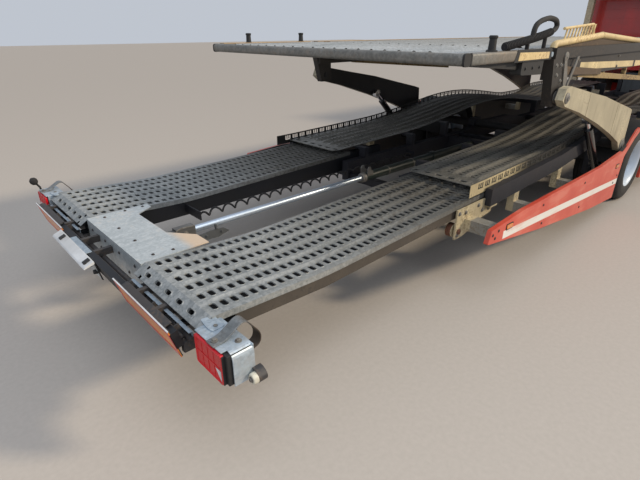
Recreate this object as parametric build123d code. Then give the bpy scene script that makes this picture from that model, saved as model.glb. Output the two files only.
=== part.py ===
from build123d import *
import os
from math import cos, hypot, radians, sin

# Car transporter truck: a small two-axle carrier with a slide-out rear deck and a lifting upper deck.
# Millimetres. +X forward, +Y to the left, +Z up. The origin is on the ground under the middle of the truck.
# Places along the truck are measured forward from the datum, the first row of holes in the rear deck.
# Heights there are measured from the deck's top, and place() turns both into places of the truck.

os.makedirs("parts", exist_ok=True)

# Overall layout
TAIL = 262                  # datum to the rearmost point
REAR_AXLE = 4690            # datum to the rear axle
WHEELBASE = 5350
FRONT_OVERHANG = 1298
HALF_WIDTH = 1275           # outer face of skirts and rear tyres
DECK_HEIGHT = 620           # deck above the ground at the datum
PIN_GAP = 0.3               # all round a pin or shaft in its bore
RUN_GAP = 6                 # between pieces that move past each other
BITE = 1                    # overlap of two shapes that are fused

# Wheels
TYRE_R = 384
TYRE_W = 212
RIM_R = 222
RIM_FLANGE_R = 238
TWIN_SPACING = 244
HUB_BORE = 45
FRONT_INSET = 280           # outer face of the truck to the middle of a front tyre

# Slide-out rear deck
TRACK_IN = 385
TRACK_SIDE = 275            # outer face of the truck to the track's outer edge
FOLD_X = -45                # where the sheet bends down at the tail
FOLD_Z = 2
DIP_X = 570                 # wheel dip, where the two slopes meet
DIP_Z = -30
SLIDE_END_X = 2200
SLIDE_END_Z = 12
SHEET = 6
RIB_W = 26
RIB_H = 12
ROW = 100                   # between rows of holes
ROW_IN = 435                # innermost row of holes
ROW_EDGE = 40               # least from the outer row to the track's edge
FLANGE_LEN = 72
FLANGE_TURN = 32            # degrees down from the deck

# Fixed lower deck
GUARD_GAP = 48              # tyre to mudguard
HUMP_GAP = 30               # mudguard to the top of the deck's hump
DECK_FRONT = 1190           # front axle to the deck's front end
DECK_RIB_W = 44
DECK_RIB_H = 14
EDGE_RISE = 66

# Upper deck
UPPER_SIDE = 135            # outer face of the truck to the upper deck's side
TAIL_DECK_X = 1340
TAIL_HINGE_X = 2390
UPPER_FRONT = 2440          # front axle to the upper deck's front end
UPPER_Z = 900
RAIL = 60                   # depth and width of a square deck tube
ARM_PIVOT = (4250, 20)
ARM_HEAD = (2560, 600)
ARM_SPAN = 3300             # rear arms to front arms
ARM_GAP = 15                # upper deck to lift arm
ARM_T = 60
TORQUE_R = 45
LIFT_BASE = (4000, -200)
LIFT_EYE = (3400, 350)
SKIRT_Y = (HALF_WIDTH - 6, HALF_WIDTH)

# Cab
CAB_SIDE = 125              # outer face of the truck to the cab's side
CAB_DEPTH = 1760
CAB_FLOOR = 960
CAB_ROOF = 2400
WALL = 45
DOOR_GAP = 7
DOOR_REAR = 1210
DOOR_FRONT = 195
DOOR_TOP = 2280
WAIST = 1560

# Over-cab deck
PLATFORM_Z = 1950
PLATFORM_REAR = 1400        # front axle to the platform's rear end
PLATFORM_SIDE = 215         # outer face of the truck to the platform's sheet

length = TAIL + REAR_AXLE + WHEELBASE + FRONT_OVERHANG
front_axle_at = REAR_AXLE + WHEELBASE
track_out = HALF_WIDTH - TRACK_SIDE
rows = int((track_out - ROW_EDGE - ROW_IN) / ROW) + 1
upper_half = HALF_WIDTH - UPPER_SIDE
arm_y = (upper_half + ARM_GAP, upper_half + ARM_GAP + ARM_T)
cab_half = HALF_WIDTH - CAB_SIDE
platform_half = HALF_WIDTH - PLATFORM_SIDE
upper_front_x = front_axle_at - UPPER_FRONT
platform_rear_x = front_axle_at - PLATFORM_REAR
datum_x = TAIL - length / 2
front_x = length / 2
rear_axle_x = datum_x + REAR_AXLE
front_axle_x = rear_axle_x + WHEELBASE
axle_z = TYRE_R

# Fixed lower deck's line, as stations of (x, top z): it rises over the mudguards and dips ahead of them
hump = axle_z + TYRE_R + GUARD_GAP + HUMP_GAP - DECK_HEIGHT
deck_stations = [(2000, 50), (2500, 62), (3200, 82), (3700, hump - 98), (REAR_AXLE - 540, hump - 40),
                 (REAR_AXLE - 240, hump - 10), (REAR_AXLE + 10, hump), (REAR_AXLE + 290, hump - 4),
                 (REAR_AXLE + 610, hump - 28), (REAR_AXLE + 1060, hump - 84), (REAR_AXLE + 1510, 78),
                 (REAR_AXLE + 2160, 78), (REAR_AXLE + 2560, 150), (front_axle_at - DECK_FRONT, 150)]


def block(x, y, z):
    """Box between two x, two y and two z values."""
    middle = [(a + b) / 2 for a, b in (x, y, z)]
    size = [abs(b - a) for a, b in (x, y, z)]
    return Pos(*middle) * Box(*size)


def slab(points, y):
    """Closed side outline of (x, z) points, carried across from y[0] to y[1]."""
    plane = Plane(origin=(0, max(y), 0), x_dir=(1, 0, 0), z_dir=(0, -1, 0))
    return extrude(plane * make_face(Polyline(*points, close=True)), amount=abs(y[1] - y[0]))


def rod(start, end, radius):
    """Round bar between two points."""
    along = Vector(*end) - Vector(*start)
    return extrude(Plane(origin=start, z_dir=along) * Circle(radius), amount=along.length)


def drum(x, z, radius, y):
    """Round bar across the truck, at one x and z."""
    return rod((x, min(y), z), (x, max(y), z), radius)


def ring(x, z, radius, bore, y):
    """Round bar across the truck with a hole through it."""
    return drum(x, z, radius, y) - drum(x, z, bore, (min(y) - 1, max(y) + 1))


def spun(outline, x, z):
    """Outline of (y, radius) points turned about the crosswise axis at x and z."""
    plane = Plane(origin=(x, 0, z), x_dir=(0, 1, 0), z_dir=(-1, 0, 0))
    return revolve(plane * make_face(Polyline(*outline, close=True)), axis=Axis((x, 0, z), (0, 1, 0)))


def place(x, z):
    """A station measured from the datum, as x and z of the truck."""
    return (datum_x + x, DECK_HEIGHT + z)


def chunk(x, y, z):
    """Box measured from the datum."""
    return Pos(datum_x, 0, DECK_HEIGHT) * block(x, y, z)


def outline(points, y):
    """Side outline measured from the datum, carried across from y[0] to y[1]."""
    return slab([place(x, z) for x, z in points], y)


def bar(x, z, radius, y):
    """Round bar across the truck, measured from the datum."""
    return drum(*place(x, z), radius, y)


def flip(solid):
    """The same piece on the other side of the truck."""
    return mirror(solid, about=Plane.XZ)


def pair(solid):
    """A piece and its twin on the other side."""
    return [solid, flip(solid)]


def save(name, solids):
    """One STEP file for a node, from a solid or a list of solids that don't touch."""
    pieces = solids if isinstance(solids, list) else [solids]
    found = [s for piece in pieces for s in piece.solids()]
    export_step(Compound(children=found), "parts/" + name + ".step")


def between(stations, x):
    """Height on a line of (x, z) stations."""
    for (x0, z0), (x1, z1) in zip(stations, stations[1:]):
        if x <= x1:
            return z0 + (z1 - z0) * (x - x0) / (x1 - x0)
    return stations[-1][1]


def stretch(stations, x0, x1):
    """The stations from x0 to x1, with both ends worked out."""
    inner = [(x, z) for x, z in stations if x0 < x < x1]
    return [(x0, between(stations, x0))] + inner + [(x1, between(stations, x1))]


def strip(stations, high, low, y):
    """Band that follows the stations, from low to high above them."""
    top = [(x, z + high) for x, z in stations]
    bottom = [(x, z + low) for x, z in reversed(stations)]
    return outline(top + bottom, y)


def ribbed(stations, y_in, y_out, rib_ys, rib_w=RIB_W, rib_h=RIB_H):
    """Deck sheet with a rib along it at each given y."""
    deck = strip(stations, 0, -SHEET, (y_in, y_out))
    for y in rib_ys:
        deck += strip(stations, rib_h, -SHEET, (y - rib_w / 2, y + rib_w / 2))
    return deck


def rib_places(half):
    """Middles of the ribs of a deck sheet that is half wide on each side of the truck's middle."""
    count = int((half - RIB_W) / (2 * ROW))
    return [k * 2 * ROW for k in range(-count, count + 1)]


rib_rows = [ROW_IN + ROW * (k + 0.5) for k in range(rows - 1)]
slide_line = [(FOLD_X, FOLD_Z), (DIP_X, DIP_Z), (SLIDE_END_X, SLIDE_END_Z)]

# Rear deck that slides out: one ribbed track each side, bent down at the tail
turn = radians(FLANGE_TURN)
flange_run = (-FLANGE_LEN * cos(turn), -FLANGE_LEN * sin(turn))
flange_line = [(FOLD_X + flange_run[0], FOLD_Z + flange_run[1]), (FOLD_X, FOLD_Z)]
track = ribbed(slide_line, TRACK_IN, track_out, rib_rows)
track += strip(flange_line, 0, -SHEET, (TRACK_IN, track_out))
flange_mid = place(FOLD_X + flange_run[0] / 2, FOLD_Z + flange_run[1] / 2)
for y in rib_rows:
    spot = Plane(origin=(flange_mid[0], y, flange_mid[1]), x_dir=(0, 1, 0), z_dir=(-sin(turn), 0, cos(turn)))
    track -= extrude(spot * SlotOverall(56, 30), amount=SHEET * 3, both=True)
save("extension_tracks", pair(track))

# Frame of the sliding deck: outer and inner beams under each track, crossbeam at the tail
OUT_BEAM = (track_out - 55, track_out - 5)
OUT_BEAM_D = 84
IN_BEAM = (TRACK_IN + 5, TRACK_IN + 60)
BEAM_END_X = 2630
IN_BEAM_Z = -152
CROSS_XS = (500, 1050, 1600, 2150)
CROSSBEAM_X = (-60, 60)
CROSSBEAM_Z = (-170, -62)
CORNER = 30
beam_line = [(x, z - SHEET) for x, z in slide_line] + [(BEAM_END_X, SLIDE_END_Z - SHEET)]
beam_run = stretch(beam_line, CROSSBEAM_X[1], BEAM_END_X)
deck_side = strip(beam_run, 0, -OUT_BEAM_D, OUT_BEAM)
deck_side += outline(beam_run + [(BEAM_END_X, IN_BEAM_Z), (CROSSBEAM_X[1], IN_BEAM_Z)], IN_BEAM)
for x in CROSS_XS:
    z = between(beam_line, x)
    deck_side += chunk((x - 25, x + 25), (IN_BEAM[0], OUT_BEAM[1]), (z - 60, z - 2))
crossbeam = outline([(CROSSBEAM_X[0], CROSSBEAM_Z[0] + CORNER), (CROSSBEAM_X[0] + CORNER, CROSSBEAM_Z[0]),
                     (CROSSBEAM_X[1], CROSSBEAM_Z[0]), (CROSSBEAM_X[1], CROSSBEAM_Z[1]),
                     (CROSSBEAM_X[0] + CORNER, CROSSBEAM_Z[1]), (CROSSBEAM_X[0], CROSSBEAM_Z[1] - CORNER)],
                    (-track_out, track_out))

# Galvanised plate between the tracks, with its rear face and a stepped notch at the front
COVER_X = (CROSSBEAM_X[0] - PIN_GAP, 300)
COVER_Y = TRACK_IN - PIN_GAP
COVER_D = 160
NOTCH = [(190, 250), (190, -120), (301, -260), (301, 320)]
cover = chunk(COVER_X, (-COVER_Y, COVER_Y), (-SHEET, 0))
notch_plane = Plane(origin=(datum_x, 0, DECK_HEIGHT - SHEET - 1))
cover -= extrude(notch_plane * make_face(Polyline(*NOTCH, close=True)), amount=SHEET + 2)
cover += chunk((COVER_X[0] - SHEET, COVER_X[0]), (-COVER_Y, COVER_Y), (-COVER_D, 0))
save("centre_plate", cover)

# Tail corner: galvanised box over the lamp, red lamp, strap hoop and roller
LAMP_Y = (track_out + 6, HALF_WIDTH - 45)
LAMP_X = (-136, -10)
LAMP_TOP = -8
LAMP_LOW = LAMP_TOP - 150
LAMP_WALL = 6
lamp_mouth = [(LAMP_X[0] - 1, LAMP_TOP - LAMP_WALL), (LAMP_X[1] - 8, LAMP_TOP - LAMP_WALL),
              (LAMP_X[1] - 8, LAMP_LOW - 1), (LAMP_X[0] - 1, LAMP_LOW - 1)]
box_side = [(LAMP_X[0], LAMP_TOP - LAMP_WALL), (LAMP_X[0] + LAMP_WALL, LAMP_TOP), (LAMP_X[1], LAMP_TOP),
            (LAMP_X[1], LAMP_LOW), (LAMP_X[0], LAMP_LOW)]
box_shell = outline(box_side, LAMP_Y)
box_shell -= outline(lamp_mouth, (LAMP_Y[0] + LAMP_WALL, LAMP_Y[1] - LAMP_WALL))
box_shell += chunk((LAMP_X[1] - 60, LAMP_X[1]), (track_out, LAMP_Y[0] + LAMP_WALL), (-150, -90))
save("lamp_boxes", pair(box_shell))
lamp = chunk((LAMP_X[0] + 4, LAMP_X[1] - 8), (LAMP_Y[0] + LAMP_WALL, LAMP_Y[1] - LAMP_WALL),
             (LAMP_LOW, LAMP_TOP - 8))
save("tail_lamps", pair(lamp))

HOOP_T = 6
HOOP_W = 42
HOOP_SIDE = 171             # outer face of the truck to the strap
strap_z = LAMP_TOP + HOOP_T / 2 + PIN_GAP
HOOP_LINE = [(-132, strap_z), (-84, strap_z), (4, 50), (74, -48), (66, -92), (22, -104)]
hoop_plane = Plane(origin=(0, HALF_WIDTH - HOOP_SIDE + HOOP_W, 0), x_dir=(1, 0, 0), z_dir=(0, -1, 0))
hoop_path = FilletPolyline(*[place(x, z) for x, z in HOOP_LINE], radius=[20, 26, 14, 10])
save("tail_hoops", pair(extrude(hoop_plane * trace(hoop_path, HOOP_T), amount=HOOP_W)))

ROLLER_R = 30
ROLLER_AT = (-20, -140)
ROLLER_Y = (HALF_WIDTH - 34, HALF_WIDTH - 4)
roller = chunk((ROLLER_AT[0] - 26, ROLLER_AT[0] + 26), (LAMP_Y[1], LAMP_Y[1] + 5),
               (ROLLER_AT[1] - 18, ROLLER_AT[1] + 18))
roller += bar(*ROLLER_AT, 9, (LAMP_Y[1], HALF_WIDTH))
roller += bar(*ROLLER_AT, ROLLER_R, ROLLER_Y)
save("tail_rollers", pair(roller))

# Marking boards under the tail, the bar that carries them and a bare plate holder between them
BOARD_TOP = (-206, -18)
BOARD_LOW = (-166, -160)
BOARD_T = 6
BOARD_Y = (TRACK_IN + 9, track_out - 56)
BAR_T = 34
HOLDER_Y = (-150, 390)
HOLDER_TOP = [(-206, -26), (-256, -48), (-TAIL, -58), (-206, -38)]
board_h = hypot(BOARD_TOP[0] - BOARD_LOW[0], BOARD_TOP[1] - BOARD_LOW[1])
down = ((BOARD_LOW[0] - BOARD_TOP[0]) / board_h, (BOARD_LOW[1] - BOARD_TOP[1]) / board_h)


def leaning(depth, drop, y):
    """Plate parallel to the boards: depth forward of their back face, drop down from their top edge."""
    corners = []
    for into, below in ((depth[0], drop[0]), (depth[1], drop[0]), (depth[1], drop[1]), (depth[0], drop[1])):
        x = BOARD_TOP[0] + down[0] * below - down[1] * into
        z = BOARD_TOP[1] + down[1] * below + down[0] * into
        corners.append((x, z))
    return outline(corners, y)


save("marking_boards", pair(leaning((-BOARD_T, 0), (0, board_h), BOARD_Y)))
carrier = leaning((0, BAR_T), (20, 100), (-BOARD_Y[1], BOARD_Y[1]))
for y in (-820, -450, 450, 820):
    carrier += chunk((-165, CROSSBEAM_X[0] + 2), (y - 15, y + 15), (-112, -90))
CABLE_X = (568, 2900)       # lug on the sliding deck to lug on the chassis
CABLE_Y = 215
CABLE_Z = -100
CABLE_R = 30
LUG_T = 8
lug = chunk((CABLE_X[0] - LUG_T, CABLE_X[0]), (CABLE_Y - CABLE_R, IN_BEAM[0] + BITE),
            (CABLE_Z - CABLE_R, CABLE_Z + CABLE_R))
save("extension_frame", deck_side + flip(deck_side) + crossbeam + carrier + lug)

holder = outline(HOLDER_TOP, HOLDER_Y)
for y in (HOLDER_Y[0] + 60, HOLDER_Y[1] - 100):
    holder += leaning((-14, 0), (22, 60), (y, y + 40))
holder += leaning((-14, -10), (10, board_h - 20), (HOLDER_Y[0] + 20, HOLDER_Y[1] - 20))
for y in (HOLDER_Y[0] + 40, HOLDER_Y[1] - 80):
    holder += chunk((-252, -222), (y, y + 40), (-96, -42))
save("plate_holder", holder)

# Coiled cable between the sliding deck and the chassis, as its outer shape
save("coil_cable", rod((datum_x + CABLE_X[0], CABLE_Y, DECK_HEIGHT + CABLE_Z),
                       (datum_x + CABLE_X[1], CABLE_Y, DECK_HEIGHT + CABLE_Z), CABLE_R))

# Cylinder that slides the deck: rod and clevis on the deck, barrel on the chassis
RAM_Z = -88
ROD_R = 16
BARREL_R = 38
ROD_EYE_X = 380
BARREL_X = (1940, 3650)
COLLAR_X = (2905, 2955)
CLEVIS_HALF = 30


def ram_round(x, radius):
    """Round bar on the cylinder's line between two x values."""
    ends = [(datum_x + along, 0, DECK_HEIGHT + RAM_Z) for along in x]
    return rod(*ends, radius)


ram = ram_round((ROD_EYE_X, BARREL_X[0] + 60), ROD_R)
ram += chunk((ROD_EYE_X - 90, ROD_EYE_X + 30), (-CLEVIS_HALF, CLEVIS_HALF), (RAM_Z - 34, RAM_Z + 34))
ram += chunk((CROSSBEAM_X[1], ROD_EYE_X - 40), (-CLEVIS_HALF, CLEVIS_HALF), (RAM_Z - 34, RAM_Z + 20))
save("slide_ram_rod", ram)
barrel = ram_round(BARREL_X, BARREL_R) + ram_round(COLLAR_X, BARREL_R + 10)
barrel -= ram_round((BARREL_X[0] - 1, BARREL_X[1] - 40), ROD_R + PIN_GAP)
save("slide_ram_barrel", barrel)

# Fixed lower deck: ribbed tracks from the sliding deck to the cab, each with a slotted edge
LIP_SLOT = (56, 28)
LIP_IN = 45                 # deck's rear edge to its row of slots
SLOT_PITCH = 150
EDGE_Y = (track_out - 4, track_out + 2)
SLOT_Z = (26, 46)
deck_start, deck_z = deck_stations[0]
lower = ribbed(deck_stations, TRACK_IN + 6, EDGE_Y[0], rib_rows, DECK_RIB_W, DECK_RIB_H)
for k in range(rows):
    slot = Pos(datum_x + deck_start + LIP_IN, ROW_IN + ROW * k, DECK_HEIGHT + deck_z) * Rot(0, 0, 90)
    lower -= extrude(slot * SlotOverall(*LIP_SLOT), amount=20, both=True)
edge = strip(deck_stations, EDGE_RISE, -SHEET, EDGE_Y)
slot_count = int((deck_stations[-1][0] - deck_start) / SLOT_PITCH)
for k in range(slot_count):
    x = deck_start + SLOT_PITCH * (k + 0.5)
    z = between(deck_stations, x)
    edge -= chunk((x - 32, x + 32), (EDGE_Y[0] - 6, EDGE_Y[1] + 8), (z + SLOT_Z[0], z + SLOT_Z[1]))
save("lower_deck", pair(lower + edge))

# Chassis: two rails, raised over the rear axle, with crossmembers
RAIL_Y = (275, 345)
RAIL_TOP = -36
RAIL_D = 170
RAIL_REAR_X = 2060
RAIL_RISE = 60
rail_front_x = length - TAIL - 60
RAIL_LINE = [(RAIL_REAR_X, RAIL_TOP), (4000, RAIL_TOP), (4350, RAIL_TOP + RAIL_RISE),
             (5050, RAIL_TOP + RAIL_RISE), (5400, RAIL_TOP), (rail_front_x, RAIL_TOP)]
INSIDE = (-RAIL_Y[0] - 5, RAIL_Y[0] + 5)
CROSSMEMBERS = [(2120, -RAIL_D), (3900, -60), (5600, -60), (6900, -60), (rail_front_x - 2978, -60),
                (rail_front_x - 1978, -60), (rail_front_x - 378, -60)]
rails = strip(RAIL_LINE, 0, -RAIL_D, RAIL_Y)
rails = rails + flip(rails)
for x, low in CROSSMEMBERS:
    z = between(RAIL_LINE, x) + low
    rails += chunk((x - 30, x + 30), INSIDE, (z, z + 60))
rails += chunk((BARREL_X[1], BARREL_X[1] + 60), INSIDE, (RAIL_TOP - RAIL_D, RAIL_TOP))
ledge_top = IN_BEAM_Z - PIN_GAP
ledge = chunk((RAIL_REAR_X, BARREL_X[1] - 10), (RAIL_Y[1], IN_BEAM[1]), (ledge_top - 14, ledge_top))
rails += ledge + flip(ledge)
rails += chunk((CABLE_X[1], CABLE_X[1] + LUG_T), (CABLE_Y - CABLE_R, RAIL_Y[0] + BITE),
               (CABLE_Z - CABLE_R, CABLE_Z + CABLE_R))
for x, top in ((front_x - 1650, CAB_FLOOR - 10), (front_x - 450, CAB_FLOOR - 200)):
    cab_mount = block((x - 40, x + 40), RAIL_Y, (DECK_HEIGHT + RAIL_TOP, top))
    rails += cab_mount + flip(cab_mount)
for x in (ARM_PIVOT[0], ARM_PIVOT[0] + ARM_SPAN):
    z = between(RAIL_LINE, x)
    carrier_block = chunk((x - 75, x + 75), RAIL_Y, (z - 10, ARM_PIVOT[1] + 62))
    rails += carrier_block + flip(carrier_block)
    rails -= bar(x, ARM_PIVOT[1], TORQUE_R + PIN_GAP, (-RAIL_Y[1] - 1, RAIL_Y[1] + 1))
save("chassis_frame", rails)

# Cross bearers that carry the lower deck, with a side rail along their ends
deck_front_x = front_axle_at - DECK_FRONT
BEARERS = [(2300, 20), (3000, 20), (3600, 20), (5850, 46), (6500, 46), (7050, 46),
           (deck_front_x - 850, 46), (deck_front_x - 150, 46)]
OUTER_RAIL = (track_out + 12, track_out + 60)
SIDE_RAILS = [(2050, 4150, 120), (5450, deck_front_x - 50, 70)]
TRUNNION_R = 22
bearers = Part()
for x0, x1, depth in SIDE_RAILS:
    bearers += strip(stretch(deck_stations, x0, x1), -SHEET, -SHEET - depth, OUTER_RAIL)
for x, depth in BEARERS:
    line = stretch(deck_stations, x - 25, x + 25)
    bearers += strip(line, -SHEET, -SHEET - depth, (RAIL_Y[0], OUTER_RAIL[1]))
    foot = (between(RAIL_LINE, x), between(deck_stations, x) - SHEET - depth + 4)
    bearers += chunk((x - 25, x + 25), RAIL_Y, foot)
bearers += chunk((LIFT_BASE[0] - 35, LIFT_BASE[0] + 35), OUTER_RAIL, (LIFT_BASE[1] - 40, 60))
bearers += bar(*LIFT_BASE, TRUNNION_R, (OUTER_RAIL[1], arm_y[0] - 8))
save("deck_bearers", pair(bearers))

# Outriggers: square tubes out to the skirts, hung from the side rails, and the roller under the sliding deck
TUBE_WALL = 6
ARM_TUBES = [(2450, 120), (3240, 120), (5500, 70), (7000, 70), (deck_front_x - 550, 70)]
TUBE_HALF = 38
TUBE_Z = (-206, -130)
REAR_TUBE_X = (1800, 1890)
REAR_TUBE_Z = (-182, -104)
HANGER_Y = (track_out + 10, track_out + 22)
GUIDE_AT = (1735, -176)
GUIDE_R = 45


def tube_out(x, z, y):
    """Rectangular tube across the truck, open at its ends."""
    bore_x = (x[0] + TUBE_WALL, x[1] - TUBE_WALL)
    bore_z = (z[0] + TUBE_WALL, z[1] - TUBE_WALL)
    return chunk(x, y, z) - chunk(bore_x, (y[0] - 1, y[1] + 1), bore_z)


hanger_top = between(deck_stations, 2150) - SHEET - SIDE_RAILS[0][2] - PIN_GAP
hanger = outline([(1700, -24), (2044, -24), (2044, hanger_top - 3), (2150, hanger_top), (2150, -146),
                  (2010, -158), (1900, -204), (1790, -226), (1700, -226)], HANGER_Y)
hanger += bar(*GUIDE_AT, 12, (OUT_BEAM[0] + 5, HANGER_Y[1]))
hanger += bar(*GUIDE_AT, GUIDE_R, (OUT_BEAM[0] + 5, OUT_BEAM[1]))
hanger += chunk((2060, 2150), (HANGER_Y[0], OUTER_RAIL[1]), (hanger_top - 14, hanger_top - 2))
hanger += tube_out(REAR_TUBE_X, REAR_TUBE_Z, (HANGER_Y[1] - BITE, SKIRT_Y[0]))
arms = [hanger]
for x, depth in ARM_TUBES:
    wide = (x - TUBE_HALF, x + TUBE_HALF)
    post = strip(stretch(deck_stations, *wide), -SHEET - depth, -SHEET - depth - 40, OUTER_RAIL)
    post += chunk(wide, OUTER_RAIL, (TUBE_Z[0], between(deck_stations, x) - SHEET - depth - 20))
    arms.append(post + tube_out(wide, TUBE_Z, (OUTER_RAIL[1] - BITE, SKIRT_Y[0])))
save("outriggers", arms + [flip(arm) for arm in arms])

# Side skirts: tapered panel behind the wheel, arch piece over it, panel ahead of it
SKIRT_REAR = [(1650, -160), (1680, -75), (2080, -52), (3600, -60), (4160, -20), (4190, -60), (4225, -300),
              (4225, -490), (3590, -440), (2440, -290)]
SKIRT_ARCH = [(4160, -22), (4420, 150), (4690, 200), (4960, 150), (5215, -22), (5170, -60), (4930, 100),
              (4690, 150), (4450, 100), (4190, -60)]
skirt_front_x = deck_front_x - 150
SKIRT_FRONT = [(5190, -60), (5215, -22), (skirt_front_x, -22), (skirt_front_x, -470), (5150, -490),
               (5150, -300)]
skirt = outline(SKIRT_REAR, SKIRT_Y) + outline(SKIRT_ARCH, SKIRT_Y) + outline(SKIRT_FRONT, SKIRT_Y)
save("side_skirts", pair(skirt))

# Mudguards over the rear wheels
GUARD_R = TYRE_R + GUARD_GAP
GUARD_Y = (HALF_WIDTH - 480, SKIRT_Y[0])
guard = ring(rear_axle_x, axle_z, GUARD_R, GUARD_R - 6, GUARD_Y)
guard -= block((rear_axle_x - 600, rear_axle_x + 600), (GUARD_Y[0] - 1, GUARD_Y[1] + 1),
               (axle_z - 600, axle_z + 60))
save("rear_mudguards", pair(guard))

# Rear axle with its differential, propeller shaft and leaf springs
AXLE_R = 62
DIFF_R = 165
SHAFT_R = 38
SPRING_Y = (430, 500)
SPRING_HALF = 560
SPRING_LINE = [(-560, 130), (-300, 84), (0, 62), (300, 84), (560, 130), (560, 145), (250, 112), (0, 104),
               (-250, 112), (-560, 145)]
rear_axle = drum(rear_axle_x, axle_z, AXLE_R, (-760, 760))
rear_axle += drum(rear_axle_x, axle_z, HUB_BORE - PIN_GAP, (-HALF_WIDTH + 60, HALF_WIDTH - 60))
rear_axle += Pos(rear_axle_x, 0, axle_z) * Sphere(DIFF_R)
rear_axle += rod((rear_axle_x, 0, axle_z), (rear_axle_x + 260, 0, axle_z + 10), 75)
rear_axle += rod((rear_axle_x + 250, 0, axle_z + 10), (front_axle_x - 900, 0, DECK_HEIGHT - 160), SHAFT_R)
spring = slab([(rear_axle_x + x, axle_z + z) for x, z in SPRING_LINE], SPRING_Y)
spring += block((rear_axle_x - 60, rear_axle_x + 60), SPRING_Y, (axle_z + 20, axle_z + AXLE_R + 4))
for x in (rear_axle_x - SPRING_HALF, rear_axle_x + SPRING_HALF):
    spring += block((x - 35, x + 35), (RAIL_Y[1], SPRING_Y[1]), (axle_z + 120, axle_z + 180))
save("rear_axle", rear_axle + spring + flip(spring))

# Front axle beam on its springs, and the knuckles on their kingpins
front_y = HALF_WIDTH - FRONT_INSET
KING_Y = front_y - 175
KING_R = 22
EYE_HALF = 50
FORK_HALF = 45
FORK_H = 100
FORK_GAP = 56
FORK_Y = (70, 95)
FORK_BACK = 40
LEAF_HALF = 450
LEAF_Y = 415
rail_low = DECK_HEIGHT + RAIL_TOP - RAIL_D
fork_swing = hypot(FORK_HALF, FORK_BACK) + RUN_GAP
beam_half = KING_Y - fork_swing
front_axle = block((front_axle_x - 45, front_axle_x + 45), (-beam_half, beam_half),
                   (rail_low - 105, rail_low - 15))
for s in (-1, 1):
    eye_y = (s * (beam_half - 10), s * (KING_Y + 40))
    front_axle += block((front_axle_x - EYE_HALF, front_axle_x + EYE_HALF), eye_y,
                        (axle_z - EYE_HALF, axle_z + EYE_HALF))
    front_axle -= rod((front_axle_x, s * KING_Y, axle_z - 80), (front_axle_x, s * KING_Y, axle_z + 80),
                      KING_R + PIN_GAP)
    front_axle += block((front_axle_x - LEAF_HALF, front_axle_x + LEAF_HALF),
                        (s * (RAIL_Y[1] + 5), s * LEAF_Y), (rail_low - 15, rail_low + 20))
    for x in (front_axle_x - LEAF_HALF, front_axle_x + LEAF_HALF):
        front_axle += block((x - 35, x + 35), (s * RAIL_Y[1], s * LEAF_Y), (rail_low, rail_low + 60))
save("front_axle", front_axle)


def knuckle(side):
    """Fork on the kingpin, with the spindle that the wheel turns on."""
    y = side * KING_Y
    across = (front_axle_x - FORK_HALF, front_axle_x + FORK_HALF)
    fork = block(across, (y + side * FORK_Y[0], y + side * FORK_Y[1]), (axle_z - FORK_H, axle_z + FORK_H))
    for low, high in ((-FORK_H, -FORK_GAP), (FORK_GAP, FORK_H)):
        fork += block(across, (y - side * FORK_BACK, y + side * FORK_Y[1]), (axle_z + low, axle_z + high))
    fork += rod((front_axle_x, y, axle_z - FORK_H), (front_axle_x, y, axle_z + FORK_H), KING_R)
    fork += drum(front_axle_x, axle_z, HUB_BORE - PIN_GAP, (y + side * 90, side * (front_y + 60)))
    return fork


save("knuckle_left", knuckle(1))
save("knuckle_right", knuckle(-1))

# Wheels
GROOVE = 10
SHOULDER = 50
DISH = 34
BEAD = 22                   # tyre's side to the edge that seats on the rim


def tyre(middle, side):
    """Tyre with rounded shoulders and two grooves, round a wheel whose middle plane is at y."""
    half = TYRE_W / 2
    low = TYRE_R - GROOVE
    points = [(BEAD - half, RIM_R), (-half, RIM_R + 60), (6 - half, TYRE_R - SHOULDER),
              (30 - half, TYRE_R - 6), (-40, TYRE_R), (-37, low), (-27, low), (-24, TYRE_R),
              (24, TYRE_R), (27, low), (37, low), (40, TYRE_R), (half - 30, TYRE_R - 6),
              (half - 6, TYRE_R - SHOULDER), (half, RIM_R + 60), (half - BEAD, RIM_R)]
    return [(middle + side * y, r) for y, r in points]


def rim(middle, side, disc):
    """Wheel: rim barrel with flanges, and a dished disc with a hub, its disc at y = disc from the middle."""
    half = TYRE_W / 2 - BEAD
    points = [(-half, RIM_R), (-half - 8, RIM_FLANGE_R), (-half - 14, RIM_FLANGE_R),
              (-half - 10, RIM_R - 10), (disc - 10, RIM_R - 40), (disc - 10, 130), (disc + DISH, 100),
              (disc + DISH, HUB_BORE), (disc + 60, HUB_BORE), (disc + 60, 106), (disc + 4, 140),
              (disc + 4, RIM_R - 34), (half + 10, RIM_R - 10), (half + 14, RIM_FLANGE_R),
              (half + 8, RIM_FLANGE_R), (half, RIM_R)]
    return [(middle + side * y, r) for y, r in points]


FRONT_DISC = 20
REAR_DISC = -70
for side, word in ((1, "left"), (-1, "right")):
    front = side * front_y
    save("front_tyre_" + word, spun(tyre(front, side), front_axle_x, axle_z))
    save("front_rim_" + word, spun(rim(front, side, FRONT_DISC), front_axle_x, axle_z))
    outer = side * (HALF_WIDTH - TYRE_W / 2)
    inner = outer - side * TWIN_SPACING
    save("rear_tyres_" + word, [spun(tyre(middle, side), rear_axle_x, axle_z) for middle in (outer, inner)])
    save("rear_rims_" + word, [spun(rim(outer, side, REAR_DISC), rear_axle_x, axle_z),
                               spun(rim(inner, -side, REAR_DISC), rear_axle_x, axle_z)])

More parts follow.
